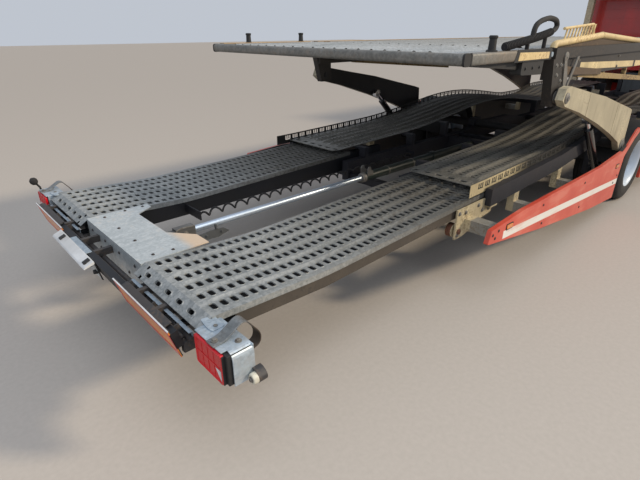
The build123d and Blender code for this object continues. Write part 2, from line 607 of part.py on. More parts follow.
# Engine, as one block, and the tanks on the rails
ENGINE_X = (-450, 300)
ENGINE_HALF = 250
MOUNT_Z = (RAIL_TOP - 130, RAIL_TOP - 50)
engine = block((front_axle_x + ENGINE_X[0], front_axle_x + ENGINE_X[1]), (-ENGINE_HALF, ENGINE_HALF),
               (rail_low + 30, CAB_FLOOR - 60))
for x in (front_axle_x + ENGINE_X[0] + 40, front_axle_x + ENGINE_X[1] - 120):
    engine += block((x, x + 80), (-RAIL_Y[0] + PIN_GAP, RAIL_Y[0] - PIN_GAP),
                    (DECK_HEIGHT + MOUNT_Z[0], DECK_HEIGHT + MOUNT_Z[1]))
save("engine_block", engine)
TANK_X = (front_axle_x - 1900, front_axle_x - 1100)
TANK_Y = (SPRING_Y[1], SPRING_Y[1] + 480)
TANK_Z = (240, 560)
tank = block(TANK_X, TANK_Y, TANK_Z)
tank = fillet(tank.edges().filter_by(Axis.X), 60)
for x in (TANK_X[0] + 100, TANK_X[1] - 150):
    tank += block((x, x + 50), (RAIL_Y[1], TANK_Y[0] + 20), (TANK_Z[1] - 120, TANK_Z[1] - 20))
save("side_tanks", pair(tank))

# Cab: hollow shell from its side outline, open underneath ahead, with window and door openings cut through
cab_rear = front_x - CAB_DEPTH
nose_x = front_x - 60
SILL = 1410                 # foot of the windscreen
HEAD = 2250                 # top of the windscreen
SCREEN_LOW = (front_x - 75, SILL + 10)
SCREEN_HIGH = (front_x - 310, HEAD)
SCREEN_EDGE = 40
SCREEN_SIDE = 110
SCREEN_OUT = 8              # outer face of the glass behind the cab's skin
SCREEN_IN = 14
ARCH_GAP = 130              # tyre to the wheel arch
skirt_z = CAB_FLOOR - 200
cab_outline = [(nose_x, skirt_z), (nose_x, 1300), SCREEN_LOW, SCREEN_HIGH, (front_x - 400, CAB_ROOF - 30),
               (front_x - 560, CAB_ROOF), (cab_rear + 90, CAB_ROOF), (cab_rear, CAB_ROOF - 90),
               (cab_rear, CAB_FLOOR - 10), (front_x - 1000, CAB_FLOOR - 10), (front_x - 800, skirt_z)]
floor_z = CAB_FLOOR + 40
inner_outline = [(nose_x - WALL, floor_z), (nose_x - WALL, 1300), (front_x - 75 - WALL, SILL),
                 (front_x - 350, HEAD - 20), (front_x - 430, CAB_ROOF - 75),
                 (front_x - 560, CAB_ROOF - WALL), (cab_rear + 100, CAB_ROOF - WALL),
                 (cab_rear + WALL, CAB_ROOF - 100), (cab_rear + WALL, floor_z)]
under_outline = [(nose_x - WALL, skirt_z - 1), (nose_x - WALL, CAB_FLOOR - 10),
                 (front_x - 960, CAB_FLOOR - 10), (front_x - 760, skirt_z - 1)]
inside_half = cab_half - WALL
cab = slab(cab_outline, (-cab_half, cab_half)) - slab(inner_outline, (-inside_half, inside_half))
cab -= slab(under_outline, (-inside_half, inside_half))
screen_run = hypot(SCREEN_HIGH[0] - SCREEN_LOW[0], SCREEN_HIGH[1] - SCREEN_LOW[1])
screen_up = ((SCREEN_HIGH[0] - SCREEN_LOW[0]) / screen_run, (SCREEN_HIGH[1] - SCREEN_LOW[1]) / screen_run)


def screen(out, inward):
    """Slab in the plane of the windscreen, from out in front of it to inward behind it."""
    corners = []
    top = screen_run - SCREEN_EDGE
    for up, forward in ((SCREEN_EDGE, out), (top, out), (top, -inward), (SCREEN_EDGE, -inward)):
        corners.append((SCREEN_LOW[0] + screen_up[0] * up + screen_up[1] * forward,
                        SCREEN_LOW[1] + screen_up[1] * up - screen_up[0] * forward))
    return slab(corners, (-cab_half + SCREEN_SIDE, cab_half - SCREEN_SIDE))


cab -= screen(30, 90)
cab -= drum(front_axle_x, axle_z, TYRE_R + ARCH_GAP, (-cab_half - 1, cab_half + 1))
DOOR_LOW = CAB_FLOOR + 20
door_x = (front_x - DOOR_REAR, front_x - DOOR_FRONT)
PILLAR_X = front_x - 470    # where the door's front edge meets its top
ELBOW = 1500                # where the door's front edge starts to lean back
door_outline = [(door_x[0], DOOR_LOW), (door_x[0], DOOR_TOP), (PILLAR_X, DOOR_TOP), (door_x[1], ELBOW),
                (door_x[1], DOOR_LOW)]
door_panel = [(door_x[0] + DOOR_GAP, DOOR_LOW + DOOR_GAP), (door_x[0] + DOOR_GAP, DOOR_TOP - DOOR_GAP),
              (PILLAR_X - DOOR_GAP, DOOR_TOP - DOOR_GAP), (door_x[1] - DOOR_GAP, ELBOW - 3),
              (door_x[1] - DOOR_GAP, DOOR_LOW + DOOR_GAP)]
WINDOW_TOP = 2200
window = [(door_x[0] + 90, WAIST), (door_x[0] + 90, WINDOW_TOP), (front_x - 510, WINDOW_TOP),
          (front_x - 275, WAIST)]
through = (inside_half - 1, cab_half + 1)
door_opening = slab(door_outline, through)
cab = cab - door_opening - flip(door_opening)
HINGE_X = door_x[1] - 3
HINGE_Y = cab_half + 8
HINGE_R = 8
HINGE_PIN_R = 5
HINGE_LIFT = 32
HINGE_ZS = (CAB_FLOOR + 110, WAIST - 130)


def hinge_ear(ahead, z):
    """Hinge ear on the outer skin, ahead of the door's pivot or behind it."""
    ear = block((HINGE_X, HINGE_X + ahead), (cab_half - BITE, cab_half + 2 * HINGE_R), (z, z + HINGE_LIFT))
    return ear + rod((HINGE_X, HINGE_Y, z), (HINGE_X, HINGE_Y, z + HINGE_LIFT), HINGE_R)


for z in HINGE_ZS:
    bore = rod((HINGE_X, HINGE_Y, z - 1), (HINGE_X, HINGE_Y, z + HINGE_LIFT + 1), HINGE_PIN_R + PIN_GAP)
    ear = hinge_ear(36, z) - bore
    cab += ear + flip(ear)
save("cab_shell", cab)

# Doors with their mirrors, and the windscreen
MIRROR_X = (front_x - 430, front_x - 370)
MIRROR_Z = (1640, 1990)
door = slab(door_panel, (inside_half, cab_half)) - slab(window, through)
door += drum(front_x - 388, 1940, 12, (cab_half - 5, cab_half + 60))
door += block(MIRROR_X, (cab_half + 40, HALF_WIDTH - 6), MIRROR_Z)
for z in HINGE_ZS:
    door += hinge_ear(-46, z + HINGE_LIFT + PIN_GAP)
    door += rod((HINGE_X, HINGE_Y, z - 4), (HINGE_X, HINGE_Y, z + HINGE_LIFT + 8), HINGE_PIN_R)
save("door_left", door)
save("door_right", flip(door))
save("windscreen", screen(-SCREEN_OUT, SCREEN_IN))

# Front panel, bumper, headlamps and steps
GRILLE_HALF = 720
GRILLE_Z = 830
GRILLE_PITCH = 78
GRILLE_GAP = 44
GRILLES = 5
LAMP_SPAN = (640, 930)
LAMP_RISE = (560, 700)
BUMPER_LOW = 300
panel = block((nose_x, front_x - 30), (-cab_half + 60, cab_half - 60), (CAB_FLOOR - 190, 1330))
for k in range(GRILLES):
    z = GRILLE_Z + GRILLE_PITCH * k
    panel -= block((front_x - 45, front_x - 29), (-GRILLE_HALF, GRILLE_HALF), (z, z + GRILLE_GAP))
save("front_panel", panel)
bumper = block((front_x - 240, front_x), (-cab_half, cab_half), (BUMPER_LOW, skirt_z - 5))
bumper = fillet(bumper.edges().filter_by(Axis.Z), 110)
bumper -= block((front_x - 241, nose_x), (-cab_half + 60, cab_half - 60), (BUMPER_LOW - 1, skirt_z - 40))
for s in (-1, 1):
    bumper -= block((nose_x, front_x + 1), (s * LAMP_SPAN[0], s * LAMP_SPAN[1]), LAMP_RISE)
save("front_bumper", bumper)
save("headlamps", pair(block((nose_x, front_x - 6), LAMP_SPAN, LAMP_RISE)))
STEP_X = (front_axle_x + TYRE_R + 180, front_x - 245)
step = block(STEP_X, (cab_half - 330, cab_half), (360, skirt_z))
step -= block((STEP_X[0] + 60, STEP_X[1] - 55), (cab_half - 200, cab_half + 1), (420, 540))
save("cab_steps", pair(step))

# Seats, dashboard and steering wheel
SEAT_Y = (330, 830)
seat = block((cab_rear + 250, cab_rear + 720), SEAT_Y, (floor_z, floor_z + 380))
seat += block((cab_rear + 200, cab_rear + 330), SEAT_Y, (floor_z, floor_z + 1010))
dash = block((front_x - 400, nose_x - WALL), (-cab_half + 60, cab_half - 60), (CAB_FLOOR + 200, 1300))
hub = (front_x - 470, 580, 1400)
tilted = Pos(*hub) * Rot(0, 30, 0)
wheel = tilted * Torus(210, 16) + tilted * Cylinder(14, 420, rotation=(90, 0, 0))
wheel += rod(hub, (front_x - 380, 580, 1250), 24)
save("cab_interior", pair(seat) + [dash + wheel])

# Posts behind the cab and the deck over the cab, hinged on them
POST_X = front_axle_at - 770
POST_Y = (platform_half - 100, platform_half)
POST_HALF = 50
PIVOT_Z = PLATFORM_Z - 120
PIVOT_R = 18
EAR_Y = (POST_Y[0] + 30, POST_Y[0] + 70)
PLATFORM_RAIL = 80
FOOT_Z = RAIL_TOP - 100
post = chunk((POST_X - POST_HALF, POST_X + POST_HALF), POST_Y, (FOOT_Z, PIVOT_Z + 32))
post += chunk((POST_X - POST_HALF, POST_X + POST_HALF), (RAIL_Y[1], POST_Y[0]), (FOOT_Z, RAIL_TOP))
post -= chunk((POST_X - POST_HALF - 10, POST_X + POST_HALF + 10), (EAR_Y[0] - RUN_GAP, EAR_Y[1] + RUN_GAP),
              (PIVOT_Z - 60, PIVOT_Z + 40))
post -= bar(POST_X, PIVOT_Z, PIVOT_R + PIN_GAP, (POST_Y[0] - 1, POST_Y[1] + 1))
tie = chunk((POST_X - 40, POST_X + 40), (-POST_Y[0] - BITE, POST_Y[0] + BITE),
            (PIVOT_Z - 330, PIVOT_Z - 250))
save("front_posts", post + flip(post) + tie)
platform_x = (platform_rear_x, length - TAIL - 170)
save("cab_deck", ribbed([(x, PLATFORM_Z) for x in platform_x], -platform_half, platform_half,
                        rib_places(platform_half)))
platform = Part()
for s in (-1, 1):
    platform += chunk(platform_x, (s * platform_half, s * (platform_half + PLATFORM_RAIL)),
                      (PLATFORM_Z - PLATFORM_RAIL, PLATFORM_Z))
for x in (platform_rear_x, POST_X - 30, POST_X + 930, platform_x[1] - RAIL):
    platform += chunk((x, x + RAIL), (-platform_half - BITE, platform_half + BITE),
                      (PLATFORM_Z - RAIL, PLATFORM_Z - SHEET))
for s in (-1, 1):
    platform += chunk((POST_X - 30, POST_X + 30), (s * EAR_Y[0], s * EAR_Y[1]),
                      (PIVOT_Z - 25, PLATFORM_Z - 55))
    platform += bar(POST_X, PIVOT_Z, PIVOT_R, (s * (POST_Y[0] - 10), s * (POST_Y[1] + 10)))
save("cab_deck_frame", platform)

# Upper deck: main part on its frame of side beams, hangers and cross tubes
SIDE_W = 80
BEAM_D = 130
FRAME_TOP = 6
UPPER_CROSS_XS = (3300, 4200, 5100, 6000, 6900, upper_front_x - RAIL)
HANGER = [(-150, UPPER_Z - RAIL), (60, UPPER_Z - RAIL), (70, ARM_HEAD[1] - 60), (-60, ARM_HEAD[1] - 60)]
deck_half = upper_half - SIDE_W
main_x = (TAIL_HINGE_X + 40, upper_front_x)
rib_ys = rib_places(deck_half)
save("upper_deck", ribbed([(x, UPPER_Z) for x in main_x], -deck_half, deck_half, rib_ys))
beam = chunk((TAIL_HINGE_X + 60, upper_front_x), (deck_half, upper_half - 20),
             (UPPER_Z - RAIL - BEAM_D, UPPER_Z - RAIL))
beam += chunk(main_x, (deck_half, upper_half), (UPPER_Z - RAIL, UPPER_Z + FRAME_TOP))
PIN_R = 25
for head_x in (ARM_HEAD[0], ARM_HEAD[0] + ARM_SPAN):
    hanger_plate = outline([(head_x + x, z) for x, z in HANGER], (upper_half - 60, upper_half))
    beam += hanger_plate - bar(head_x, ARM_HEAD[1], PIN_R + PIN_GAP, (upper_half - 70, upper_half + 10))
frame = beam + flip(beam)
for x in (TAIL_HINGE_X + 60,) + UPPER_CROSS_XS:
    frame += chunk((x, x + RAIL), (-deck_half - BITE, deck_half + BITE),
                   (UPPER_Z - RAIL - FRAME_TOP, UPPER_Z - SHEET))

# Tail part of the upper deck, hinged behind it
HINGE_AT = (TAIL_HINGE_X, UPPER_Z - 30)
KNUCKLE_R = 28
DECK_PIN_R = 15
KNUCKLE_Y = (upper_half - 50, upper_half - 20)
for s in (-1, 1):
    x, z = HINGE_AT
    sides = (s * KNUCKLE_Y[0], s * KNUCKLE_Y[1])
    frame += outline([(x + 70, z - KNUCKLE_R), (x + 70, z + KNUCKLE_R), (x, z + KNUCKLE_R),
                      (x - KNUCKLE_R, z), (x, z - KNUCKLE_R)], sides)
    frame -= bar(x, z, DECK_PIN_R + PIN_GAP, (s * (KNUCKLE_Y[0] - 1), s * (KNUCKLE_Y[1] + 1)))
save("upper_frame", frame)
TAIL_RAIL_D = 54
tail_x = (TAIL_DECK_X + RAIL, TAIL_HINGE_X - 40)
side_z = (UPPER_Z - TAIL_RAIL_D, UPPER_Z + FRAME_TOP)
save("tail_deck", ribbed([(x, UPPER_Z) for x in tail_x], -deck_half, deck_half, rib_ys))
tail_frame = chunk((TAIL_DECK_X, tail_x[0]), (-upper_half, upper_half), side_z)
tail_frame += chunk((tail_x[1] - RAIL, tail_x[1]), (-deck_half - BITE, deck_half + BITE),
                    (UPPER_Z - RAIL, UPPER_Z - SHEET))
for s in (-1, 1):
    tail_frame += chunk((tail_x[0] - BITE, tail_x[1]), (s * deck_half, s * upper_half), side_z)
    tail_frame += chunk((tail_x[1] - BITE, TAIL_HINGE_X + 20), (s * deck_half, s * (deck_half + 24)),
                        (HINGE_AT[1] - 24, HINGE_AT[1] + 24))
    tail_frame += bar(*HINGE_AT, DECK_PIN_R, (s * (upper_half - 60), s * (upper_half - 5)))
save("tail_frame", tail_frame)

# Lift arms: two on one torque tube, each with a pin at its head
ARM_OUTLINE = [(2500, 590), (2530, 660), (2600, 672), (3010, 600), (3400, 535), (3790, 450), (4190, 365),
               (4280, 340), (4310, 30), (4290, -30), (4210, -30), (4100, 70), (3780, 190), (3360, 330),
               (2880, 470), (2560, 545)]


def lift_arms(span, name):
    """A pair of arms and their torque tube, span ahead of the rear pair."""
    arm = outline([(x + span, z) for x, z in ARM_OUTLINE], arm_y)
    arm += bar(ARM_HEAD[0] + span, ARM_HEAD[1], PIN_R, (upper_half - 65, arm_y[0] + BITE))
    arm += bar(ARM_PIVOT[0] + span, ARM_PIVOT[1], TORQUE_R, (0, arm_y[1]))
    if span == 0:
        arm += bar(*LIFT_EYE, 34, (arm_y[0] - 6, arm_y[0] + BITE))
    save(name, arm + flip(arm))


lift_arms(0, "lift_arms_rear")
lift_arms(ARM_SPAN, "lift_arms_front")

# Lift cylinders: barrels on trunnions under the deck, rods up to the rear arms
LIFT_Y = arm_y[0] - 36
LIFT_BARREL_R = 34
LIFT_ROD_R = 20
BARREL_SHORT = 130          # how far short of the rod's eye the barrel ends
run = hypot(LIFT_EYE[0] - LIFT_BASE[0], LIFT_EYE[1] - LIFT_BASE[1])
lean = ((LIFT_EYE[0] - LIFT_BASE[0]) / run, (LIFT_EYE[1] - LIFT_BASE[1]) / run)


def along(distance):
    """Point on the cylinder's line, at a distance from its trunnion."""
    x, z = place(LIFT_BASE[0] + lean[0] * distance, LIFT_BASE[1] + lean[1] * distance)
    return (x, LIFT_Y, z)


lift_barrel = rod(along(0), along(run - BARREL_SHORT), LIFT_BARREL_R)
lift_barrel += bar(*LIFT_BASE, 40, (LIFT_Y - 28, LIFT_Y + 28))
lift_barrel -= rod(along(60), along(run - BARREL_SHORT + 1), LIFT_ROD_R + PIN_GAP)
lift_barrel -= bar(*LIFT_BASE, TRUNNION_R + PIN_GAP, (LIFT_Y - 40, LIFT_Y + 40))
lift_rod = rod(along(80), along(run), LIFT_ROD_R) + bar(*LIFT_EYE, 38, (LIFT_Y - 24, LIFT_Y + 24))
save("lift_barrels", pair(lift_barrel))
save("lift_rods", pair(lift_rod))
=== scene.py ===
# %% [markdown]
# # A car transporter truck, dressed around its CAD frame
# The frame gives every part its place and motion. The cells below give it the surfaces that the camera sees.
# Lengths are in metres. +X is forward, +Y is to the left and +Z is up.
# Most pieces are measured from the datum: the first holes of the rear deck, on the truck's middle line.

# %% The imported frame
import bmesh
import bpy
import numpy as np
from math import cos, pi, radians, sin
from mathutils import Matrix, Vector


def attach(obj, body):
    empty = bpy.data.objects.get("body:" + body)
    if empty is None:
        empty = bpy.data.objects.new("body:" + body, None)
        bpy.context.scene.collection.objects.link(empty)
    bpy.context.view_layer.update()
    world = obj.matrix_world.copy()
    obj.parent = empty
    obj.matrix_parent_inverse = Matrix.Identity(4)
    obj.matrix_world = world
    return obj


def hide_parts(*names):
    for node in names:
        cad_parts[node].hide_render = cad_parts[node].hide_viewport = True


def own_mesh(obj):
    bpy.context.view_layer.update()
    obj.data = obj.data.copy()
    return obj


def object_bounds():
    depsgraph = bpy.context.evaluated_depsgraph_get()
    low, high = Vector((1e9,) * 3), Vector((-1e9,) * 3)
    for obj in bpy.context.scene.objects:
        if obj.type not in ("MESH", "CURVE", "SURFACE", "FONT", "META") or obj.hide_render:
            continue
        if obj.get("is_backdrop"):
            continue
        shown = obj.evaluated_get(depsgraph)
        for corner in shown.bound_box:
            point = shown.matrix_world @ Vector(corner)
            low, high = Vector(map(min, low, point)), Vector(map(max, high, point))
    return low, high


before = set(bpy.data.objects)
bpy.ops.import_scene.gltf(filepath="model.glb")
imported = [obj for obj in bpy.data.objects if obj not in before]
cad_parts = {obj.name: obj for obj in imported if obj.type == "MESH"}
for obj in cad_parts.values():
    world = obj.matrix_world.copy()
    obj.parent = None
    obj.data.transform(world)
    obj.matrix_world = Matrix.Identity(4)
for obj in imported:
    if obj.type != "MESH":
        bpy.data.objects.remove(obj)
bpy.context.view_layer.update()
DATUM = np.array([-5.538, 0.0, 0.620])

# %% [markdown]
# The camera stands close behind the tail, on the right, and looks forward and down across both tracks.
# Its place, turn and lens are fixed numbers, fitted to the straight lines of the decks.

# %% The camera
CAMERA_AT = (-0.715, -2.329, 1.009)
CAMERA_YAW = 46.9
CAMERA_PITCH = 25.34
CAMERA_LENS = 24.975

view = bpy.data.cameras.new("photo_camera")
view.lens, view.sensor_width = CAMERA_LENS, 36.0
camera = bpy.data.objects.new("photo_camera", view)
camera.location = Vector(DATUM) + Vector(CAMERA_AT)
camera.rotation_euler = (radians(90 - CAMERA_PITCH), 0, radians(CAMERA_YAW - 90))
bpy.context.scene.collection.objects.link(camera)
bpy.context.scene.camera = camera
print("camera at", [round(v, 3) for v in camera.location])

# %% [markdown]
# ## Shaders as arithmetic
# A Value holds one output of a node tree. Adding or multiplying Values adds the nodes that do it.
# The nodes could be linked by hand, but a pattern written as arithmetic is easier to read.


# %% Values
def feed(tree, socket, term):
    """Link a Value to a socket, or set the socket to a plain number or tuple."""
    if isinstance(term, Value):
        tree.links.new(term.socket, socket)
    elif isinstance(term, tuple) and len(socket.default_value) == 4:
        socket.default_value = (*term, 1.0)
    else:
        socket.default_value = term


class Value:
    """One output socket of a node tree, so that a pattern reads as arithmetic."""

    def __init__(self, tree, socket):
        self.tree = tree
        self.socket = socket

    def math(self, operation, first, second=0.0):
        node = self.tree.nodes.new("ShaderNodeMath")
        node.operation = operation
        feed(self.tree, node.inputs[0], first)
        feed(self.tree, node.inputs[1], second)
        return Value(self.tree, node.outputs[0])

    def __add__(self, other):
        return self.math("ADD", self, other)

    def __radd__(self, other):
        return self.math("ADD", other, self)

    def __sub__(self, other):
        return self.math("SUBTRACT", self, other)

    def __rsub__(self, other):
        return self.math("SUBTRACT", other, self)

    def __mul__(self, other):
        return self.math("MULTIPLY", self, other)

    def __rmul__(self, other):
        return self.math("MULTIPLY", other, self)

    def __abs__(self):
        return self.math("ABSOLUTE", self)

    def wave(self):
        """sin of the value."""
        return self.math("SINE", self)

    def ramp(self, low, high):
        """0 at low, 1 at high, smooth between them."""
        node = self.tree.nodes.new("ShaderNodeMapRange")
        node.interpolation_type = "SMOOTHSTEP"
        feed(self.tree, node.inputs["Value"], self)
        node.inputs["From Min"].default_value = low
        node.inputs["From Max"].default_value = high
        return Value(self.tree, node.outputs["Result"])


class Finish:
    """A material: one Principled shader, and the node-maker that its patterns are drawn with."""

    def __init__(self, name, **constants):
        self.material = bpy.data.materials.new(name)
        self.material.use_nodes = True
        self.tree = self.material.node_tree
        self.shader = self.tree.nodes["Principled BSDF"]
        where = self.tree.nodes.new("ShaderNodeTexCoord")
        self.where = Value(self.tree, where.outputs["Object"])
        parts = self.node("ShaderNodeSeparateXYZ", Vector=self.where)
        self.ahead = Value(self.tree, parts.outputs[0]) - float(DATUM[0])
        self.left = Value(self.tree, parts.outputs[1])
        self.aside = abs(self.left)
        self.above = Value(self.tree, parts.outputs[2]) - float(DATUM[2])
        self.set(**constants)

    def node(self, kind, settings=None, **sockets):
        """Add a node of a kind, with its settings and socket values, and give back its first output."""
        node = self.tree.nodes.new(kind)
        for key, value in (settings or {}).items():
            setattr(node, key, value)
        for key, term in sockets.items():
            feed(self.tree, node.inputs[key.replace("_", " ")], term)
        made = Value(self.tree, node.outputs[0])
        made.outputs = node.outputs
        return made

    def set(self, **values):
        """Give sockets of the shader a number, a colour or a Value."""
        for key, term in values.items():
            feed(self.tree, self.shader.inputs[key.replace("_", " ")], term)

    def stretched(self, x=1.0, y=1.0, z=1.0):
        """Object coordinates scaled along each axis."""
        return self.node("ShaderNodeMapping", Vector=self.where, Scale=Vector((x, y, z)))

    def noise(self, scale, detail=3.0, rough=0.55, along=None):
        """Cloudy pattern from 0 to 1, in blobs of about 1 / scale metres."""
        return self.node("ShaderNodeTexNoise", Vector=along or self.where, Scale=scale, Detail=detail,
                         Roughness=rough)

    def cells(self, scale):
        """A random value in each crystal-like cell, about 1 / scale metres across."""
        found = self.node("ShaderNodeTexVoronoi", Vector=self.where, Scale=scale)
        return self.node("ShaderNodeSeparateColor", Color=Value(self.tree, found.outputs["Color"]))

    def mix(self, share, low, high):
        """Colour between low at 0 and high at 1."""
        node = self.tree.nodes.new("ShaderNodeMix")
        node.data_type = "RGBA"
        feed(self.tree, node.inputs[0], share)
        feed(self.tree, node.inputs[6], low)
        feed(self.tree, node.inputs[7], high)
        return Value(self.tree, node.outputs[2])

    def emboss(self, height, distance, strength=1.0):
        """Bump from a height of 0 to 1, distance metres deep."""
        self.set(Normal=self.node("ShaderNodeBump", Height=height, Distance=distance, Strength=strength))


print("shader tools ready")

# %% [markdown]
# ## Shapes from arrays
# A Stock gathers points and faces for one piece. Its points are measured from the datum.
# Blender's own primitives could be joined instead. Arrays keep every size in sight.


# %% Stock
class Stock:
    """Points and faces of one piece, gathered part by part."""

    def __init__(self):
        self.points = []
        self.faces = []

    def add(self, points, faces):
        """Take in some points, and faces that count from the first of them."""
        base = len(self.points)
        self.points.extend(map(tuple, points))
        self.faces.extend(tuple(base + k for k in face) for face in faces)
        return self

    def box(self, x, y, z):
        """Box between two x, two y and two z values."""
        corners = [(a, b, c) for a in sorted(x) for b in sorted(y) for c in sorted(z)]
        faces = [(0, 1, 3, 2), (4, 6, 7, 5), (0, 4, 5, 1), (2, 3, 7, 6), (0, 2, 6, 4), (1, 5, 7, 3)]
        return self.add(corners, faces)

    def prism(self, outline, span, axis=1):
        """Outline in the plane across an axis, carried along it from span[0] to span[1]."""
        outline = np.asarray(outline, float)
        count = len(outline)
        ends = [np.insert(outline, axis, at, axis=1) for at in span]
        sides = [(k, (k + 1) % count, (k + 1) % count + count, k + count) for k in range(count)]
        return self.add(np.vstack(ends), [tuple(range(count)), tuple(range(count, 2 * count)), *sides])

    def strap(self, line, span, thick, axis=1):
        """Bent sheet along a line in the plane across an axis: its faces are line +- thick / 2 * normal."""
        line = np.asarray(line, float)
        ahead = np.gradient(line, axis=0)
        ahead /= np.linalg.norm(ahead, axis=1)[:, None]
        normal = np.column_stack([-ahead[:, 1], ahead[:, 0]])
        upper, lower = line + normal * thick / 2, line - normal * thick / 2
        count = len(line)
        edges = ((upper, span[0]), (upper, span[1]), (lower, span[1]), (lower, span[0]))
        around = np.stack([np.insert(edge, axis, at, axis=1) for edge, at in edges], axis=1)
        faces = [(4 * a + k, 4 * a + (k + 1) % 4, 4 * a + 4 + (k + 1) % 4, 4 * a + 4 + k)
                 for a in range(count - 1) for k in range(4)]
        faces += [(0, 1, 2, 3), tuple(4 * count - k for k in (1, 2, 3, 4))]
        return self.add(around.reshape(-1, 3), faces)

    def grid(self, rows):
        """Open skin through rows of points."""
        rows = np.asarray(rows, float)
        count, along = rows.shape[:2]
        faces = [(a * along + k, a * along + k + 1, (a + 1) * along + k + 1, (a + 1) * along + k)
                 for a in range(count - 1) for k in range(along - 1)]
        return self.add(rows.reshape(-1, 3), faces)

    def rings(self, rings, closed=False):
        """Skin over rings of points: each ring joins the next, and the two ends are capped."""
        rings = np.asarray(rings)
        count, around = rings.shape[:2]
        faces = []
        for a in range(count if closed else count - 1):
            b = (a + 1) % count
            for k in range(around):
                n = (k + 1) % around
                faces.append((a * around + k, a * around + n, b * around + n, b * around + k))
        if not closed:
            faces.append(tuple(range(around - 1, -1, -1)))
            faces.append(tuple((count - 1) * around + k for k in range(around)))
        return self.add(rings.reshape(-1, 3), faces)

    def tube(self, path, radius, around=12, up=(0, 0, 1), closed=False):
        """Round bar along a path: p + radius * (cos t * side + sin t * above)."""
        path = np.asarray(path, float)
        if closed:
            ahead = np.roll(path, -1, axis=0) - np.roll(path, 1, axis=0)
        else:
            ahead = np.gradient(path, axis=0)
        ahead /= np.linalg.norm(ahead, axis=1)[:, None]
        side = np.cross(ahead, up)
        side /= np.linalg.norm(side, axis=1)[:, None]
        above = np.cross(side, ahead)
        turn = np.linspace(0, 2 * pi, around, endpoint=False)
        spoke = np.cos(turn)[None, :, None] * side[:, None] + np.sin(turn)[None, :, None] * above[:, None]
        return self.rings(path[:, None] + radius * spoke, closed)

    def turned(self, profile, centre, axis=(0, 1, 0), around=24, closed=False):
        """Profile of (distance along the axis, radius) points, turned about it."""
        axis = np.asarray(axis, float) / np.linalg.norm(axis)
        side = np.cross(axis, (0, 0, 1) if abs(axis[2]) < 0.9 else (1, 0, 0))
        side /= np.linalg.norm(side)
        above = np.cross(axis, side)
        turn = np.linspace(0, 2 * pi, around, endpoint=False)
        spoke = np.cos(turn)[:, None] * side + np.sin(turn)[:, None] * above
        rings = [np.asarray(centre) + axis * along + spoke * radius for along, radius in profile]
        return self.rings(rings, closed)

    def bolt(self, at, axis, size=0.010):
        """Hexagon bolt head on a washer, size metres to its corner."""
        self.turned([(0, size * 1.5), (size * 0.25, size * 1.5), (size * 0.3, size * 1.4)], at, axis, 12)
        return self.turned([(size * 0.25, size), (size * 0.85, size), (size, size * 0.8)], at, axis, 6)

    def flipped(self):
        """Add the same shapes on the other side of the truck."""
        points = [(x, -y, z) for x, y, z in self.points]
        return self.add(points, [face[::-1] for face in self.faces])

    def piece(self, name, finish, body, slot, bevel=0.0, smooth=False, nodes=()):
        """Make the object, put it on its body and hide the CAD nodes it stands for."""
        mesh = bpy.data.meshes.new(name)
        mesh.from_pydata((np.asarray(self.points) + DATUM).tolist(), [], self.faces)
        solid = bmesh.new()
        solid.from_mesh(mesh)
        bmesh.ops.recalc_face_normals(solid, faces=solid.faces)
        solid.to_mesh(mesh)
        solid.free()
        mesh.materials.append(finish.material)
        made = bpy.data.objects.new(name, mesh)
        bpy.context.scene.collection.objects.link(made)
        if smooth:
            mesh.polygons.foreach_set("use_smooth", [True] * len(mesh.polygons))
            mesh.set_sharp_from_angle(angle=radians(35))
        if bevel:
            rounding = made.modifiers.new("edges", "BEVEL")
            rounding.width, rounding.segments, rounding.limit_method = bevel, 2, "ANGLE"
        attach(made, body)
        if nodes:
            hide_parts(*nodes)
        print(name, len(mesh.polygons), "faces on", body)
        return made


def rounded(points, radius, steps=4, closed=False):
    """Line with curved corners: (1 - t)^2 a + 2 t (1 - t) c + t^2 b, a and b radius away from corner c."""
    points = [np.asarray(p, float) for p in points]
    made = []
    for k, corner in enumerate(points):
        if not closed and k in (0, len(points) - 1):
            made.append(corner)
            continue
        ends = []
        for other in (points[k - 1], points[(k + 1) % len(points)]):
            gap = np.linalg.norm(other - corner)
            ends.append(corner + (other - corner) * min(radius, 0.45 * gap) / gap)
        for t in np.linspace(0, 1, steps + 1):
            made.append((1 - t) ** 2 * ends[0] + 2 * t * (1 - t) * corner + t ** 2 * ends[1])
    return made


def oblong(u, v, radius, steps):
    """Rounded rectangle between two u and two v values."""
    return rounded([(u[0], v[0]), (u[1], v[0]), (u[1], v[1]), (u[0], v[1])], radius, steps, True)


print("shape tools ready")
